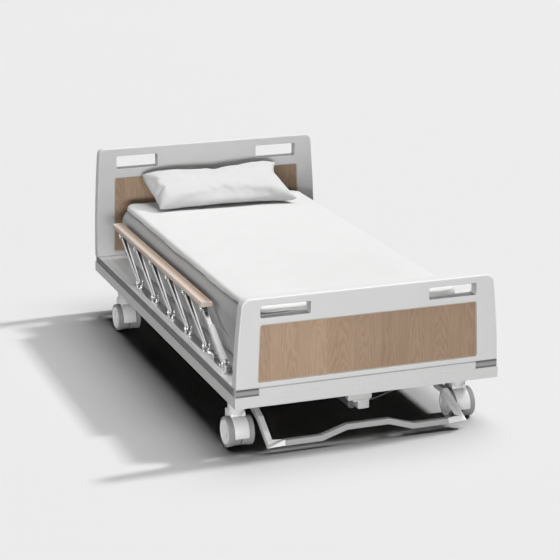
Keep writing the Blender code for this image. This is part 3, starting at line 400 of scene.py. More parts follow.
def slab(outline, axis, low, high, radius, steps=3, holes=(), hole_radius=None):
    """A thick plate from an outline, with rounded rims outside and round each hole.

    The outline's two numbers are the other two axes, in X, Y, Z order.
    """
    others = [k for k in range(3) if k != axis]
    bm = bmesh.new()

    def ring(points, depth):
        made = []
        for p in points:
            place = [0.0, 0.0, 0.0]
            place[others[0]], place[others[1]], place[axis] = p[0], p[1], depth
            made.append(bm.verts.new(place))
        return made

    def wall(points, r):
        rings = []
        for i in range(steps + 1):
            t = math.pi / 2 * i / steps
            rings.append(ring(inset(points, r * (1 - math.sin(t))), low + r * (1 - math.cos(t))))
        for i in range(steps + 1):
            t = math.pi / 2 * (1 - i / steps)
            rings.append(ring(inset(points, r * (1 - math.sin(t))), high - r * (1 - math.cos(t))))
        for first, second in zip(rings, rings[1:]):
            bridge(bm, first, second)
        return rings[0], rings[-1]

    caps = [wall(outline if area(outline) > 0 else outline[::-1], radius)]
    for hole in holes:
        caps.append(wall(hole if area(hole) < 0 else hole[::-1], hole_radius or radius))
    for side in (0, 1):
        loops = [cap[side] for cap in caps]
        if len(loops) == 1:
            bm.faces.new(loops[0])
            continue
        edges = [bm.edges.get(pair) for loop in loops for pair in zip(loop, loop[1:] + loop[:1])]
        bmesh.ops.triangle_fill(bm, use_beauty=True, use_dissolve=False, edges=edges)
    bmesh.ops.recalc_face_normals(bm, faces=bm.faces)
    return bm


def bridge(bm, first, second):
    """A band of faces between two closed loops of vertices; either loop may be a single point."""
    for k in range(max(len(first), len(second))):
        corners = [first[i % len(first)] for i in (k, k + 1)] + [second[i % len(second)] for i in (k + 1, k)]
        corners = list(dict.fromkeys(corners))
        if len(corners) > 2:
            bm.faces.new(corners)


def turned(profile, centre, axis, segments=64):
    """A profile of (distance along the axis, radius) points turned about the axis through centre."""
    others = [k for k in range(3) if k != axis]
    bm = bmesh.new()
    rings = []
    for along, radius in profile:
        ring = []
        count = 1 if radius < 1e-6 else segments
        for k in range(count):
            angle = 2 * math.pi * k / segments
            place = [0.0, 0.0, 0.0]
            place[axis] = along
            place[others[0]], place[others[1]] = radius * math.cos(angle), radius * math.sin(angle)
            ring.append(bm.verts.new(Vector(centre) + Vector(place)))
        rings.append(ring)
    for first, second in zip(rings, rings[1:]):
        bridge(bm, first, second)
    for ring in (rings[0], rings[-1]):
        if len(ring) > 1:
            bm.faces.new(ring)
    bmesh.ops.recalc_face_normals(bm, faces=bm.faces)
    return bm


def rounded_profile(points, radius, steps=4):
    """The open profile with each inner corner rounded."""
    made = [points[0]]
    for before, corner, after in zip(points, points[1:], points[2:]):
        c = Vector(corner)
        to_before, to_after = Vector(before) - c, Vector(after) - c
        r = min(radius, to_before.length * 0.45, to_after.length * 0.45)
        start, end = c + to_before.normalized() * r, c + to_after.normalized() * r
        for i in range(steps + 1):
            t = i / steps
            made.append(tuple((1 - t) ** 2 * start + 2 * t * (1 - t) * c + t ** 2 * end))
    made.append(points[-1])
    return made


def merged(*parts):
    whole = bmesh.new()
    for part in parts:
        mesh = bpy.data.meshes.new("part")
        part.to_mesh(mesh)
        part.free()
        whole.from_mesh(mesh)
        bpy.data.meshes.remove(mesh)
    return whole


def placed(bm, offset, turn):
    """The mesh turned about the X axis, then moved."""
    bm.transform(Matrix.Translation(offset) @ Matrix.Rotation(turn, 4, "X"))
    return bm


def dress(node, look, bevel):
    """A CAD node keeps its shape; it gets a material and softened edges."""
    obj = frame["nodes"][node]
    obj.data.materials.clear()
    obj.data.materials.append(M[look])
    weld = obj.modifiers.new("weld", "WELD")
    weld.merge_threshold = 0.00001
    if node.startswith("brake"):
        flat = obj.modifiers.new("flat_faces", "DECIMATE")
        flat.decimate_type, flat.angle_limit = "DISSOLVE", math.radians(1.0)
    step = obj.modifiers.new("edges", "BEVEL")
    step.width, step.segments = bevel, 2
    step.limit_method, step.angle_limit = "ANGLE", math.radians(38)
    step.harden_normals = step.use_clamp_overlap = True


# ---- frame, trim and mechanisms
def frame_parts():
    """The CAD nodes that stay as they are, and the lift's motor."""
    for node in ("upper_frame", "chassis", "lift_arm_foot", "lift_arm_head"):
        dress(node, "paint", 0.0009)
    dress("brake_frame", "paint", 0.0020)
    dress("brake_foot_bar", "bar", 0.0020)
    for side, _ in SIDES:
        dress(f"side_ledge_{side}", "ledge", 0.0008)
        dress(f"bumper_strip_{side}", "strip", 0.0012)
        for end in ENDS:
            dress(f"corner_bumper_{end}_{side}", "corner", 0.0006)
    for node in ("back_platform", "seat_platform", "thigh_platform", "leg_platform"):
        dress(node, "platform", 0.0012)
    lift_motor()
    for node in ("back_actuator", "knee_actuator", "control_box"):
        dress(node, "case", 0.0010)
    for node in ("lift_actuator_rod", "back_actuator_rod", "knee_actuator_rod"):
        dress(node, "rod", 0.0006)


def lift_motor():
    """The lift's motor housing under a wide mounting plate, with the tube and its collar behind."""
    low, high = box("lift_actuator")
    z = pivot("height_lift").z - 0.075 * (1 + math.cos(math.radians(26))) / 2
    plate = slab(rounded_rectangle(low.x, high.x, 0.1430, 0.1708, 0.0070), 1, low.y, -0.9180, 0.0030, 4)
    saddle = slab(rounded_rectangle(-0.020, 0.052, 0.1330, 0.1440, 0.0040, 4), 1, -0.9440, -0.8850, 0.0020)
    housing = slab(rounded_rectangle(0.0000, 0.0500, 0.1010, 0.1400, 0.0060), 1, -0.9455, -0.8820, 0.0030, 4)
    cover = slab(rounded_rectangle(0.0060, 0.0440, 0.1060, 0.1300, 0.0040, 4), 1, -0.9465, -0.9440, 0.0008, 2)
    screws = [dome((x, -0.9462, 0.1180), 1, -1, 0.0020, 0.0012, 16) for x in (0.0110, 0.0390)]
    motor = merged(plate, saddle, housing, cover, *screws)
    finish_piece("lift_motor", motor, "motor", "chassis", "lift_actuator")
    tube = rounded_profile([(-0.8830, 0.0), (-0.8830, 0.0190), (-0.8800, 0.0205), (-0.7420, 0.0205),
                            (-0.7350, 0.0190), (-0.7350, 0.0112), (-0.8400, 0.0112), (-0.8400, 0.0)], 0.0015)
    # The tube gets the near-black cable look as painted shade, so that it stays dark in the shadow under the
    # bed.
    finish_piece("lift_tube", turned(tube, (0, 0, z), 1, 48), "cable", "chassis")
    path = [(0.046, -0.900, 0.128), (0.075, -0.893, 0.118), (0.130, -0.888, 0.128), (0.200, -0.884, 0.146),
            (0.300, -0.886, 0.1545), (0.345, -0.880, 0.1560)]
    finish_piece("lift_cable", cable(path, 0.0028), "cable", "chassis", angle=60)


def cable(path, radius, steps=8):
    """A round cable that runs smoothly through the points."""
    points = [Vector(p) for p in path]
    points = [points[0]] + points + [points[-1]]
    line = []
    for a, b, c, d in zip(points, points[1:], points[2:], points[3:]):
        for k in range(steps):
            t = k / steps
            line.append(0.5 * (2 * b + (c - a) * t + (2 * a - 5 * b + 4 * c - d) * t * t
                               + (3 * b - a - 3 * c + d) * t ** 3))
    line.append(points[-1])
    bm = bmesh.new()
    rings = []
    for i, p in enumerate(line):
        along = (line[min(i + 1, len(line) - 1)] - line[max(i - 1, 0)]).normalized()
        side = along.cross(Vector((0, 0, 1))).normalized()
        up = side.cross(along)
        rings.append([bm.verts.new(p + (side * math.cos(a) + up * math.sin(a)) * radius)
                      for a in (math.pi / 6 * k for k in range(12))])
    for first, second in zip(rings, rings[1:]):
        bridge(bm, first, second)
    bm.faces.new(rings[0])
    bm.faces.new(rings[-1])
    bmesh.ops.recalc_face_normals(bm, faces=bm.faces)
    return bm


# ---- end boards
SLOT_X = (0.254, 0.463)
BOARDS = {
    "footboard": {"narrowing": 0.029, "power": 1.6, "corner": 0.038, "slot_z": (0.575, 0.625),
                  "panel_z": (0.312, 0.547), "panel_half": (0.474, 0.4645)},
    "headboard": {"narrowing": 0.025, "power": 1.8, "corner": 0.030, "slot_z": (0.725, 0.787),
                  "panel_z": (0.312, 0.680), "panel_half": (0.484, 0.473)},
}


def end_board(name):
    """A moulded board that narrows upwards, with two grip slots and a wood panel in a thin trim."""
    spec = BOARDS[name]
    low, high = box(name)
    half, bottom, top = high.x, low.z, high.z

    def half_width(z):
        return half - spec["narrowing"] * ((z - bottom) / (top - bottom)) ** spec["power"]

    corner = spec["corner"]
    shoulder = top - corner
    side = [(half_width(bottom + (shoulder - bottom) * i / 24), bottom + (shoulder - bottom) * i / 24)
            for i in range(24)]
    side += arc((half_width(shoulder) - corner, shoulder), corner, 0, 90, 12)
    outline = side + [(-x, z) for x, z in reversed(side)]

    def panel_outline(spare):
        (z0, z1), (w0, w1) = spec["panel_z"], spec["panel_half"]
        r = 0.010
        right = (arc((w0 - r, z0 + r), r + spare, -90, -2, 6) + arc((w1 - r, z1 - r), r + spare, -2, 90, 6))
        return right + [(-x, z) for x, z in reversed(right)]

    slots = []
    for _, s in SIDES:
        x0, x1 = sorted(s * x for x in SLOT_X)
        slots.append(rounded_rectangle(x0, x1, *spec["slot_z"], 0.007))
    shell = slab(outline, 1, low.y, high.y, 0.0055, 5, slots + [panel_outline(0.0003)], 0.0028)
    finish_piece(f"{name}_shell", shell, "shell", "upper_frame", name, weighted=True)
    plow, phigh = box(f"{name}_panel")
    panel = slab(panel_outline(-0.0004), 1, plow.y, phigh.y, 0.0012)
    finish_piece(f"{name}_wood", panel, "panel", "upper_frame", f"{name}_panel", weighted=True)
    opening = panel_outline(-0.0032)
    trim = slab(panel_outline(-0.0002), 1, plow.y - 0.0014, phigh.y + 0.0014, 0.0006, 2, [opening])
    finish_piece(f"{name}_panel_trim", trim, "trim", "upper_frame", weighted=True)


# ---- casters
def both_sides(profile, hub):
    """A profile turned about the axle, on the left wheel and mirrored on the right one."""
    return merged(*(turned([(k * x, r) for x, r in profile], hub, 0, 72) for k in (-1, 1)))


def caster(tag):
    """A twin-wheel caster: a hood on a swivelling stem, and two tyres with hub covers on one axle."""
    hub, swivel = pivot(f"roll_{tag}"), pivot(f"swivel_{tag}")
    stem_axis = (swivel.x, swivel.y, 0)
    stem_top = box(f"caster_hood_{tag}")[1].z
    outer, inner, wide = 0.0662, 0.0619, 0.0308
    neck = 0.1445 - hub.z
    outline = (arc((0, 0), outer, 192, 104, 26)
               + [(-0.012, neck - 0.004), (-0.006, neck), (outer - 0.008, neck),
                  (outer - 0.002, neck - 0.006), (outer - 0.002, 0.004)] + arc((0, 0), inner, 4, 192, 48))
    shell = slab([(hub.y + a, hub.z + b) for a, b in outline], 0, hub.x - wide, hub.x + wide, 0.0020, 4)
    outline = [(-0.011, -0.009), (0.011, -0.009), (0.015, inner + 0.003), (-0.015, inner + 0.003)]
    web = slab([(hub.y + a, hub.z + b) for a, b in outline], 0, hub.x - 0.0014, hub.x + 0.0014, 0.0004)
    collar = rounded_profile([(0.1280, 0.0), (0.1280, 0.0270), (0.1400, 0.0290), (0.1465, 0.0340),
                              (0.1510, 0.0345), (0.1510, 0.0)], 0.0040, 5)
    stem = rounded_profile([(0.1500, 0.0), (0.1500, 0.0108), (stem_top, 0.0108), (stem_top, 0.0)], 0.0012)
    hood = merged(shell, web, turned(collar, stem_axis, 2, 64), turned(stem, stem_axis, 2, 32))
    finish_piece(f"hood_{tag}", hood, "hood", f"caster_{tag}", f"caster_hood_{tag}")

    # Tyres with the drum that joins them under the hood, hub covers on their outer sides, and the axle.
    wheels = f"wheels_{tag}"
    half, tyre_in, drum, rim = 0.0555, 0.0322, 0.0598, hub.z
    tyre = rounded_profile([(0.0020, 0.0070), (0.0020, drum), (tyre_in, drum), (tyre_in, rim - 0.0008),
                            (tyre_in + 0.0005, rim), (half - 0.0035, rim), (half - 0.0005, rim - 0.0035),
                            (half, rim - 0.0075), (half - 0.0010, 0.0530), (half - 0.0060, 0.0515),
                            (half - 0.0060, 0.0070)], 0.0016)
    finish_piece(f"tyres_{tag}", both_sides(tyre + tyre[:1], hub), "tyre", wheels,
                 f"caster_wheels_{tag}", angle=30)
    face = half + 0.0005
    cover = rounded_profile([(face - 0.0075, 0.0), (face - 0.0075, 0.0512), (face - 0.0010, 0.0512),
                             (face, 0.0490), (face - 0.0004, 0.0472), (face - 0.0016, 0.0458),
                             (face - 0.0012, 0.0160), (face - 0.0022, 0.0150), (face - 0.0022, 0.0130),
                             (face - 0.0010, 0.0120), (face - 0.0008, 0.0)], 0.0010, 3)
    finish_piece(f"hub_covers_{tag}", both_sides(cover, hub), "hub", wheels, angle=30)
    axle = rounded_profile([(-0.047, 0.0), (-0.047, 0.0052), (0.047, 0.0052), (0.047, 0.0)], 0.0006)
    finish_piece(f"axle_{tag}", turned(axle, hub, 0, 24), "rod", wheels, angle=30)
    sleeve = rounded_profile([(0.1522, 0.0130), (0.1522, 0.0352), (0.1540, 0.0366), (0.2050, 0.0366),
                              (0.2070, 0.0350), (0.2070, 0.0130)], 0.0014)
    finish_piece(f"caster_post_{tag}", turned(sleeve + sleeve[:1], stem_axis, 2, 64), "paint", "chassis",
                 angle=30)


# ---- side rails
def dome(centre, axis, direction, radius, height, segments=24):
    """A low screw or pin head that stands from centre along an axis."""
    end = direction * height
    profile = rounded_profile([(0.0, radius), (end * 0.55, radius), (end, radius * 0.62), (end, 0.0)],
                              height * 0.4, 3)
    return turned([(0.0, 0.0)] + profile, centre, axis, segments)


def cap_bolt(centre, radius, height):
    """A socket-head bolt standing on a plate."""
    profile = rounded_profile([(0.0, 0.0), (0.0, radius * 1.35), (0.0016, radius * 1.35), (0.0018, radius),
                               (height, radius), (height, radius * 0.5), (height - 0.003, radius * 0.45),
                               (height - 0.003, 0.0)], 0.0008, 3)
    return turned(profile, centre, 2, 24)


def rod_block(x, z, y, half, corner, rim=0.0015, steps=5, rim_steps=3):
    """A rounded block that lies along Y: half is its half width and z its (low, high) height."""
    return slab(rounded_rectangle(x - half, x + half, *z, corner, steps), 1, *y, rim, rim_steps)


def eye_pair(x, pin, reach, root, radius, rim, head):
    """Two ears either side of a strut, from the height root round a pin, with the pin's two heads."""
    solids = []
    start = 0 if root < pin.z else 180
    edge = reach if root < pin.z else -reach
    eye = arc((pin.y, pin.z), radius, start, start + 180, 14)
    outline = [(pin.y + edge, root)] + eye + [(pin.y - edge, root)]
    for k in (-1, 1):
        solids.append(slab(outline, 0, *sorted((x + k * 0.0106, x + k * 0.0152)), rim))
        solids.append(dome((x + k * 0.0150, pin.y, pin.z), 0, k, head, 0.0028))
    return solids


def plate(x, y, half_x, half_y, bottom, top, corner):
    """A level mounting plate with rounded corners."""
    outline = rounded_rectangle(x - half_x, x + half_x, y - half_y, y + half_y, corner)
    return slab(outline, 2, bottom, top, 0.0010)


def side_rail(side, s):
    """A base bar, six struts on pins and a wooden handrail that fold together, with their catch and knob."""
    (low, high), frame_body, rail_body = box(f"lower_rail_{side}"), "upper_frame", f"top_rail_{side}"
    x = (low.x + high.x) / 2
    pivots = [pivot(f"rail_{side}" if i == 0 else f"rail_{side}_post_{i + 1}") for i in range(6)]
    reach = pivot(f"rail_{side}_top") - pivots[0]
    angle = math.atan2(reach.z, reach.y)
    top = low.z + 0.006
    base = merged(
        rod_block(x, (low.z, top), (low.y, high.y), (high.x - low.x) / 2, 0.0022, 0.0010, 4, 2),
        rod_block(x + s * 0.019, (top - 0.002, top + 0.003), (low.y + 0.004, high.y - 0.004), 0.002, 0.0010,
                  0.0008, 3, 2),
        rod_block(x, (low.z + 0.003, low.z + 0.030), (low.y + 0.004, low.y + 0.028), 0.014, 0.003, steps=4))
    finish_piece(f"rail_base_{side}", base, "rail", frame_body, f"lower_rail_{side}")
    fittings = []
    for p in pivots:
        fittings += eye_pair(x, p, 0.0125, top - 0.001, 0.0122, 0.0012, 0.0062)
        fittings.append(plate(x, p.y, 0.0165, 0.034, top - 0.0005, top + 0.0030, 0.006))
        for dy, height in ((-0.0255, 0.0130), (0.0255, 0.0070)):
            fittings.append(cap_bolt((x, p.y + dy, top + 0.0028), 0.0058, height))
    finish_piece(f"rail_clevises_{side}", merged(*fittings), "cast", frame_body)

    outline = arc((0, 0), 0.0098, 90, 270, 14) + arc((reach.length, 0), 0.0098, -90, 90, 14)
    for i, p in enumerate(pivots, 1):
        strut = placed(slab(outline, 0, -0.0096, 0.0096, 0.0026, 4), p, angle)
        finish_piece(f"rail_strut_{side}_{i}", strut, "post", f"post_{side}_{i}",
                     f"rail_post_{side}_{i}")
    sleeve = rod_block(0, (-0.0128, 0.0128), (0.0165, reach.length * 0.66), 0.0128, 0.004, 0.0016)
    bolt = rod_block(0, (0.0120, 0.0150), (0.045, 0.085), 0.0060, 0.0010, 0.0010, 3)
    finish_piece(f"strut_sleeve_{side}", placed(merged(sleeve, bolt), pivots[5], angle), "hood",
                 f"post_{side}_6")

    low, high = box(f"top_rail_{side}")
    half, under = (high.x - low.x) / 2, high.z - 0.0240
    cap = rod_block(x, (under, high.z), (low.y + 0.003, high.y - 0.003), half, 0.0080, 0.0020, 7)
    finish_piece(f"handrail_{side}", cap, "handrail", rail_body, f"top_rail_{side}")
    ends = [rod_block(x, (under + 0.0004, high.z - 0.0004), y, half - 0.0004, 0.0078, 0.0012, 6)
            for y in ((low.y, low.y + 0.0036), (high.y - 0.0036, high.y))]
    finish_piece(f"handrail_ends_{side}", merged(*ends), "endcap", rail_body)
    ears = []
    for pin in (p + reach for p in pivots):
        ears.append(plate(x, pin.y, 0.0175, 0.024, under - 0.0038, under + 0.0008, 0.005))
        ears += eye_pair(x, pin, 0.0130, under - 0.001, 0.0118, 0.0014, 0.0060)
    finish_piece(f"handrail_ears_{side}", merged(*ears), "cast", rail_body)

    # The catch on the base: a spring tube between two blocks, and a keeper at the last strut.
    near, last = pivots[4].y, pivots[5].y
    tube = rounded_profile([(near - 0.120, 0.0), (near - 0.120, 0.0080), (near - 0.052, 0.0080),
                            (near - 0.052, 0.0)], 0.0015)
    catch = [turned(tube, (x, 0, top + 0.0105), 1, 32)]
    for y, height in ((near - 0.126, 0.0195), (near - 0.060, 0.0195), (last + 0.042, 0.0120)):
        span = (y - 0.0065, y + 0.0065)
        catch.append(rod_block(x, (top - 0.001, top + height), span, 0.0130, 0.003, 0.0012))
    finish_piece(f"rail_catch_{side}", merged(*catch), "cast", frame_body)

    low, high = box(f"rail_release_{side}")
    r = (high.x - low.x) / 2
    knob = rounded_profile([(low.y, 0.0), (low.y, r * 0.82), (low.y + 0.002, r), (low.y + 0.017, r),
                            (low.y + 0.020, r * 0.7), (low.y + 0.020, 0.0040), (high.y, 0.0040),
                            (high.y, 0.0)], 0.0010, 3)
    finish_piece(f"latch_knob_{side}", turned(knob, (x, 0, (low.z + high.z) / 2), 1, 40), "cable",
                 f"rail_latch_{side}", f"rail_release_{side}")


# ---- mattress
def wave(x, y, z, size, seed=0.0):
    return noise.noise(Vector((x / size + seed, y / size - seed * 0.7, z / size + seed * 1.3)))


def spaced(low, high, fine, step):
    """Grid lines from low to high: fine ones near both ends, even ones between."""
    inner_low, inner_high = low + fine[-1], high - fine[-1]
    count = max(2, round((inner_high - inner_low) / step))
    even = [inner_low + (inner_high - inner_low) * i / count for i in range(count + 1)]
    return [low + f for f in fine[:-1]] + even + [high - f for f in reversed(fine[:-1])]


def mattress_mesh(half_w, foot, head, bottom, top):
    """One closed skin: a cover with a soft overhanging hem, a crease under it, and crowned sides."""
    length = (head - foot) / 2
    centre_y = (head + foot) / 2
    corner = 0.055
    fine = [0.0, 0.0020, 0.0050, 0.0095, 0.016, 0.026]
    xs = spaced(-half_w, half_w, fine, 0.019)
    ys = spaced(-length, length, fine, 0.019)

    def plan(x, y, grow=0.0):
        """A point of the full rectangle moved into the rounded-corner outline, then pushed out by grow."""
        u = (abs(x) - (half_w - corner)) / corner
        v = (abs(y) - (length - corner)) / corner
        if u > 0 and v > 0:
            px = half_w - corner + corner * u * math.sqrt(1 - v * v / 2)
            py = length - corner + corner * v * math.sqrt(1 - u * u / 2)
            away = Vector((px - half_w + corner, py - length + corner))
        else:
            px, py = abs(x), abs(y)
            away = Vector((1.0, 0.0)) if px - half_w > py - length else Vector((0.0, 1.0))
        away = away.normalized() if away.length > 1e-9 else away
        px, py = px + away.x * grow, py + away.y * grow
        return math.copysign(px, x), math.copysign(py, y) + centre_y

    def depth(x, y):
        """How far inside the outline a point of the rectangle is, measured after the corners are rounded."""
        px, py = plan(x, y)
        qx, qy = abs(px) - (half_w - corner), abs(py - centre_y) - (length - corner)
        if qx > 0 and qy > 0:
            return corner - math.hypot(qx, qy)
        return corner - max(qx, qy)

    bm = bmesh.new()
    upper, lower = {}, {}
    r = 0.017
    for i, x in enumerate(xs):
        for j, y in enumerate(ys):
            px, py = plan(x, y)
            d = max(0.0, depth(x, y))
            drop = r - math.sqrt(max(0.0, r * r - (r - d) ** 2)) if d < r else 0.0
            roll = min(1.0, d / 0.10)
            sway = 0.0022 * wave(px + 0.6 * py, py * 0.7, 0, 0.42, 3.1) + 0.0012 * wave(px, py, 0, 0.16, 8.0)
            crown = 0.0035 * (1 - (px / half_w) ** 4) * roll
            upper[i, j] = bm.verts.new((px, py, top - 0.005 - drop + crown + sway * roll))
            sink = 0.006 - math.sqrt(max(0.0, 0.006 ** 2 - (0.006 - d) ** 2)) if d < 0.006 else 0.0
            lower[i, j] = bm.verts.new((px, py, bottom + sink))
    last_i, last_j = len(xs) - 1, len(ys) - 1
    for i in range(last_i):
        for j in range(last_j):
            bm.faces.new((upper[i, j], upper[i + 1, j], upper[i + 1, j + 1], upper[i, j + 1]))
            under = bm.faces.new((lower[i, j], lower[i, j + 1], lower[i + 1, j + 1], lower[i + 1, j]))
            under.material_index = 1
    border = ([(i, 0) for i in range(last_i)] + [(last_i, j) for j in range(last_j)]
              + [(i, last_j) for i in range(last_i, 0, -1)] + [(0, j) for j in range(last_j, 0, -1)])
    edge_z = top - 0.005 - r
    # Rings from the cover's edge down to the bottom: (height, how far out, share of the hem's waviness).
    hem = [(edge_z - 0.0035, 0.0012, 1.0), (edge_z - 0.0070, 0.0004, 1.0), (edge_z - 0.0092, -0.0022, 1.0),
           (edge_z - 0.0098, -0.0070, 1.0), (edge_z - 0.0120, -0.0090, 1.0), (edge_z - 0.0140, -0.0050, 1.0)]
    side_top, side_low = edge_z - 0.0160, bottom + 0.008
    steps = 16

    def bulge(t):
        rise = math.sin(math.pi / 2 * min(1.0, t / 0.36)) ** 0.75
        return -0.0020 + 0.0245 * rise - 0.010 * max(0.0, (t - 0.80) / 0.20) ** 2

    body = [(side_top + (side_low - side_top) * k / steps, bulge(k / steps), max(0.0, 0.8 - k * 0.4))
            for k in range(steps + 1)]
    rings = [[upper[b] for b in border]]
    for z, out, share in hem + body:
        ring = []
        for i, j in border:
            px, py = plan(xs[i], ys[j])
            ripple = 0.0042 * wave(px, py, 0, 0.19, 5.0) + 0.0016 * wave(px, py, 0, 0.06, 1.0)
            puff = 0.0030 * wave(px, py, z, 0.28, 11.0) + 0.0010 * wave(px, py, z * 0.5, 0.07, 4.0)
            qx, qy = plan(xs[i], ys[j], out + puff * (0.6 + 0.4 * share))
            ring.append(bm.verts.new((qx, qy, z + ripple * share)))
        rings.append(ring)
    rings.append([lower[b] for b in border])
    for n, (first, second) in enumerate(zip(rings, rings[1:])):
        for k in range(len(first)):
            j = (k + 1) % len(first)
            face = bm.faces.new((first[k], second[k], second[j], first[j]))
            # Faces in the crease under the hem get the dark crease look: painted shade under the hem.
            face.material_index = 0 if n < 4 else 2 if n < 6 else 1
    bmesh.ops.recalc_face_normals(bm, faces=bm.faces)
    return bm


def plump(obj, pressure, cap, frames, stiffness, bending, quality, shrink=0.0, hold=None):
    """Puffs the mesh with air pressure for a few frames and applies the result.

    No point moves further than cap. hold gives each point's share of being pinned in place.
    """
    start = np.array([v.co for v in obj.data.vertices])
    cloth = obj.modifiers.new("cloth", "CLOTH")
    settings = cloth.settings
    settings.quality = quality
    settings.mass = 0.22
    settings.tension_stiffness = settings.compression_stiffness = stiffness
    settings.shear_stiffness = stiffness / 3
    settings.bending_stiffness = bending
    settings.use_pressure = True
    settings.uniform_pressure_force = pressure
    settings.shrink_min = shrink
    settings.effector_weights.gravity = 0.0
    if hold:
        group = obj.vertex_groups.new(name="hold")
        for index, co in enumerate(start):
            if hold(co) > 0:
                group.add([index], hold(co), "REPLACE")
        settings.vertex_group_mass = "hold"
    cloth.collision_settings.use_collision = False
    cloth.point_cache.frame_start, cloth.point_cache.frame_end = 1, frames
    scene = bpy.context.scene
    for f in range(1, frames + 1):
        scene.frame_set(f)
    graph = bpy.context.evaluated_depsgraph_get()
    moved = np.array([v.co for v in obj.evaluated_get(graph).to_mesh().vertices])
    obj.modifiers.remove(cloth)
    obj.vertex_groups.clear()
    scene.frame_set(1)
    delta = moved - start
    size = np.linalg.norm(delta, axis=1, keepdims=True)
    delta *= np.minimum(1.0, cap / np.maximum(size, 1e-9))
    obj.data.vertices.foreach_set("co", (start + delta).astype(np.float32).ravel())
    obj.data.update()


def mattress():
    """The cover, puffed by cloth pressure and cut into three lengths."""
    low, high = CAD_MATTRESS
    looks = ["sheet", "cover_with_painted_shade", "crease_shade"]
    bm = mattress_mesh(high.x - 0.010, low.y + 0.006, high.y - 0.010, low.z, high.z + 0.003)
    whole = finish_piece("mattress_whole", bm, looks, angle=60)
    edge = high.z + 0.003 - 0.005 - 0.017

    def hold(co):
        if co[2] < low.z + 0.004:
            return 1.0
        return 0.9 if edge - 0.016 < co[2] < edge - 0.008 else 0.0

    plump(whole, 2.5, 0.0045, 12, 18, 0.4, 4, hold=hold)
    cuts = (-0.020, -0.255)
    spans = [("head", cuts[0], None), ("middle", cuts[1], cuts[0]), ("foot", None, cuts[1])]
    nodes = {"head": ("back", "seat"), "middle": ("thigh",), "foot": ("leg",)}
    for name, start, end in spans:
        bm = bmesh.new()
        bm.from_mesh(whole.data)
        for y, clear_outer in ((start, False), (end, True)):
            if y is None:
                continue
            geometry = bm.verts[:] + bm.edges[:] + bm.faces[:]
            cut = bmesh.ops.bisect_plane(bm, geom=geometry, plane_co=(0, y, 0), plane_no=(0, 1, 0),
                                         clear_outer=clear_outer, clear_inner=not clear_outer)
            edges = [e for e in cut["geom_cut"] if isinstance(e, bmesh.types.BMEdge)]
            bmesh.ops.holes_fill(bm, edges=edges, sides=0)
        piece = finish_piece(f"mattress_{name}_part", bm, looks, angle=60)
        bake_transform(piece)
        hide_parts(*(f"mattress_{part}" for part in nodes[name]))
    bpy.data.objects.remove(whole)


boxes = [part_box(n) for n in ("mattress_back", "mattress_seat", "mattress_thigh", "mattress_leg")]
CAD_MATTRESS = (Vector([min(b[0][k] for b in boxes) for k in range(3)]),
                Vector([max(b[1][k] for b in boxes) for k in range(3)]))


# ---- pillow
def pillow():
    """A stuffed case: two sheets sewn round the edge and puffed by cloth pressure, laid by the headboard."""
    half_x, half_y = 0.372, 0.196
    nx, ny = 62, 34
    bm = bmesh.new()
    grids = []
    for side in (1, -1):
        grid = {}
        for i in range(nx + 1):
            for j in range(ny + 1):
                u, v = 2 * i / nx - 1, 2 * j / ny - 1
                rim = i in (0, nx) or j in (0, ny)
                if rim and side == -1:
                    grid[i, j] = grids[0][i, j]
                    continue
                puff = 0.0 if rim else 0.052 * ((1 - u ** 4) * (1 - v ** 2)) ** 0.45
                pull = 1 - 0.030 * (1 - abs(u)) * v * v
                x, y = u * half_x * (1 - 0.030 * (1 - v * v) * u * u), v * half_y * pull
                fold = 0.0025 * wave(x, y, side, 0.05, 2.0) + 0.003 * wave(x, y, side, 0.12, 6.0)
                grid[i, j] = bm.verts.new((x, y, side * puff + (0 if rim else fold)))
        grids.append(grid)
        for i in range(nx):
            for j in range(ny):
                corners = [grid[i, j], grid[i + 1, j], grid[i + 1, j + 1], grid[i, j + 1]]
                bm.faces.new(corners if side == 1 else list(reversed(corners)))
    bmesh.ops.recalc_face_normals(bm, faces=bm.faces)
    obj = finish_piece("pillow_case", bm, "pillow", angle=180)
    plump(obj, 5.0, 0.030, 20, 12, 0.15, 6, shrink=-0.03)
    lay_pillow(obj)
    soften = obj.modifiers.new("smooth", "SUBSURF")
    soften.levels = soften.render_levels = 1
    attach(obj, "back_section")
    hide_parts("pillow")


def lay_pillow(obj):
    """Lays the puffed case between its four corners, then flattens it where the bed and the board hold it."""
    top = CAD_MATTRESS[1].z
    corners = {(-1, -1): (-0.352, 0.672, top + 0.020), (1, -1): (0.335, 0.622, top + 0.027),
               (-1, 1): (-0.352, 0.978, top + 0.122), (1, 1): (0.350, 0.978, top + 0.134)}
    corners = {key: np.array(value) for key, value in corners.items()}
    co = np.array([v.co for v in obj.data.vertices])
    co -= (co.max(0) + co.min(0)) / 2
    span = co.max(0) - co.min(0)
    u, v, w = (2 * co[:, k] / span[k] for k in range(3))
    place = np.zeros_like(co)
    for (a, b), corner in corners.items():
        place += ((1 + a * u) * (1 + b * v) / 4)[:, None] * corner
    # The right end is drawn in at its middle, and the left end bulges out towards its upper corner.
    place[:, 0] -= np.where(u > 0, 0.034 * (1 - v * v) * np.clip(u, 0, 1) ** 5, 0)
    place[:, 0] -= np.where(u < 0, 0.034 * (1 - v * v) * (1 + 0.5 * v) * np.clip(-u, 0, 1) ** 4, 0)
    place[:, 1] -= 0.030 * (1 - u * u) * np.clip(-v, 0, 1) ** 3
    tilt = math.radians(19)
    place += (w * 0.064)[:, None] * np.array([0.0, -math.sin(tilt), math.cos(tilt)])
    floor_z = top + 0.0030
    under = place[:, 2] < floor_z + 0.018
    press = floor_z + 0.018 * np.exp((place[:, 2] - floor_z - 0.018) / 0.030) * 0.9
    place[:, 2] = np.where(under, np.maximum(press, floor_z), place[:, 2])
    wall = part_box("headboard_panel")[0][1] - 0.001
    place[:, 1] = np.minimum(place[:, 1], wall)
    obj.data.vertices.foreach_set("co", place.astype(np.float32).ravel())
    obj.data.update()


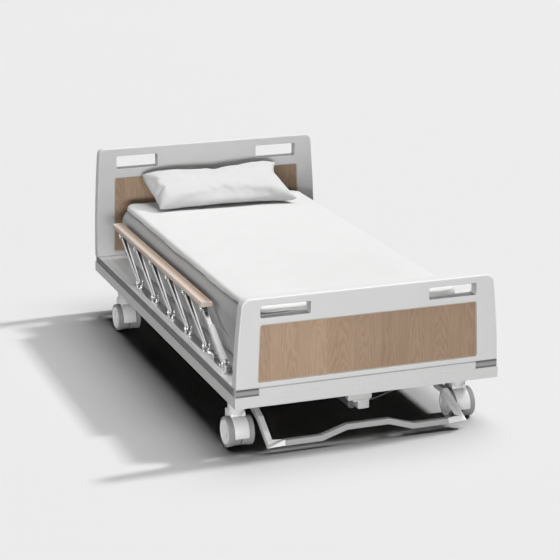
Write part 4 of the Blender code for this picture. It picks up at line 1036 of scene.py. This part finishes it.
# ---- stage, light and camera
def floor_look():
    """Pale when seen directly or in a reflection, but it bounces little light, so that shadows stay deep."""
    look = Look("studio_floor", (0.83, 0.83, 0.83), 0.90)
    look.put("Base Color", look.mix(look.noise(0.8, 2.0), (0.826, 0.826, 0.826), (0.834, 0.834, 0.834)))
    look.put("Specular IOR Level", 0.0)
    rays = look.add("ShaderNodeLightPath").outputs
    seen = look.maths("MAXIMUM", rays["Is Camera Ray"], rays["Is Glossy Ray"])
    dull = look.add("ShaderNodeBsdfDiffuse", [("Color", (0.03, 0.03, 0.03, 1.0))]).outputs[0]
    pale = look.tree.nodes["Principled BSDF"].outputs[0]
    both = look.add("ShaderNodeMixShader", [(0, seen), (1, dull), (2, pale)]).outputs[0]
    look.feed(look.tree.nodes["Material Output"].inputs["Surface"], both)
    return look.material


def stage():
    half = 60.0
    M["floor"] = floor_look()
    bm = bmesh.new()
    corners = ((-half, -half), (half, -half), (half, half), (-half, half))
    bm.faces.new([bm.verts.new((x, y, 0)) for x, y in corners])
    finish_piece("studio_floor", bm, "floor")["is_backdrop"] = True


def lamp(name, kind, direction, energy, receivers=None, place=(0, 0, 0), **settings):
    """A light that comes from a direction and doesn't bounce. receivers limits it to one collection."""
    data = bpy.data.lights.new(name, kind)
    data.energy = energy
    data.cycles.max_bounces = 0
    for key, value in settings.items():
        setattr(data, key, value)
    obj = bpy.data.objects.new(name, data)
    bpy.context.scene.collection.objects.link(obj)
    obj.location = place
    obj.rotation_euler = Vector(direction).normalized().to_track_quat("Z", "Y").to_euler()
    if receivers:
        obj.light_linking.receiver_collection = receivers


def key_light():
    """A far, wide strip of light: its shadows are softer across the bed than along it."""
    far, strength = 300.0, 1.73
    towards = Vector((0.679, 0.05, 0.734)).normalized()
    along, across = (2 * far * math.tan(math.radians(degrees / 2)) for degrees in (4.0, 5.0))
    lamp("key", "AREA", towards, strength * math.pi * far * far, place=towards * far, shape="RECTANGLE",
         size=along, size_y=across)


def world_light():
    """Light from overhead only, so that it's dark under the bed. Shiny parts see a brighter room."""
    world = bpy.data.worlds.new("studio")
    world.use_nodes = True
    sky = Nodes(world.node_tree, "Generated")
    overhead = Vector((0.30, 0.05, 0.952)).normalized()
    towards = sky.add("ShaderNodeVectorMath", [(0, sky.place), (1, overhead)], operation="DOT_PRODUCT")
    dome = sky.spread(towards.outputs["Value"], 0.0, 3.18, 0.86, 0.93, interpolation_type="SMOOTHSTEP")
    stops = ((0.0, 0.10), (0.50, 0.55), (0.58, 1.05), (0.72, 0.45), (0.86, 1.0), (1.0, 0.8))
    room = sky.ramp(sky.maths("MULTIPLY_ADD", sky.axis("Z"), 0.5, 0.5), [(at, (v, v, v)) for at, v in stops])
    rays = sky.add("ShaderNodeLightPath").outputs
    strength = dome
    for ray, value in (("Is Glossy Ray", room), ("Is Camera Ray", 0.82)):
        inputs = [(0, rays[ray]), (2, strength), (3, value)]
        strength = sky.add("ShaderNodeMix", inputs, data_type="FLOAT").outputs[0]
    background = world.node_tree.nodes["Background"]
    sky.feed(background.inputs["Strength"], strength)
    background.inputs["Color"].default_value = (1, 1, 1, 1)
    bpy.context.scene.world = world


def named(*starts):
    return [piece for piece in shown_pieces() if piece.name.startswith(starts)]


def group(name, objects):
    made = bpy.data.collections.new(name)
    for obj in objects:
        made.objects.link(obj)
    return made


def studio():
    stage()
    bed = group("bed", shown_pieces())
    rolling = group("rolling", named("hub_covers", "tyres", "hood_"))
    ledges = group("ledges", named("rail_base_", "rail_clevises_")
                   + [frame["nodes"][f"side_ledge_{side}"] for side, _ in SIDES])
    key_light()
    front = Vector((-2.3, -9.3, 0.95))
    lamp("fill_front", "AREA", front - Vector((0.0, -0.4, 0.5)), 580.0, bed, front, shape="RECTANGLE",
         size=5.0, size_y=1.6)
    for name, direction, energy, degrees, receivers in (
            ("fill_ledges", (-0.50, -0.45, 0.74), 1.5, 50.0, ledges),
            ("fill_left", (-0.95, 0.10, 0.08), 1.20, 50.0, bed),
            ("fill_casters", (-0.93, -0.30, 0.06), 0.9, 40.0, rolling)):
        lamp(name, "SUN", direction, energy, receivers, angle=math.radians(degrees))
    world_light()
    bpy.context.scene.view_settings.view_transform = "Standard"
    data = bpy.data.cameras.new("camera")
    data.lens, data.sensor_width, data.clip_end = CAMERA["lens"], CAMERA["sensor"], 200.0
    camera = bpy.data.objects.new("camera", data)
    camera.location = CAMERA["place"]
    camera.rotation_euler = (math.radians(90 - CAMERA["down"]), 0.0, math.radians(-CAMERA["turn"]))
    bpy.context.scene.collection.objects.link(camera)
    bpy.context.scene.camera = camera


frame_parts()
end_board("footboard")
end_board("headboard")
for tag in (f"{end}_{side}" for end in ENDS for side, _ in SIDES):
    caster(tag)
for side, s in SIDES:
    side_rail(side, s)
mattress()
pillow()
studio()
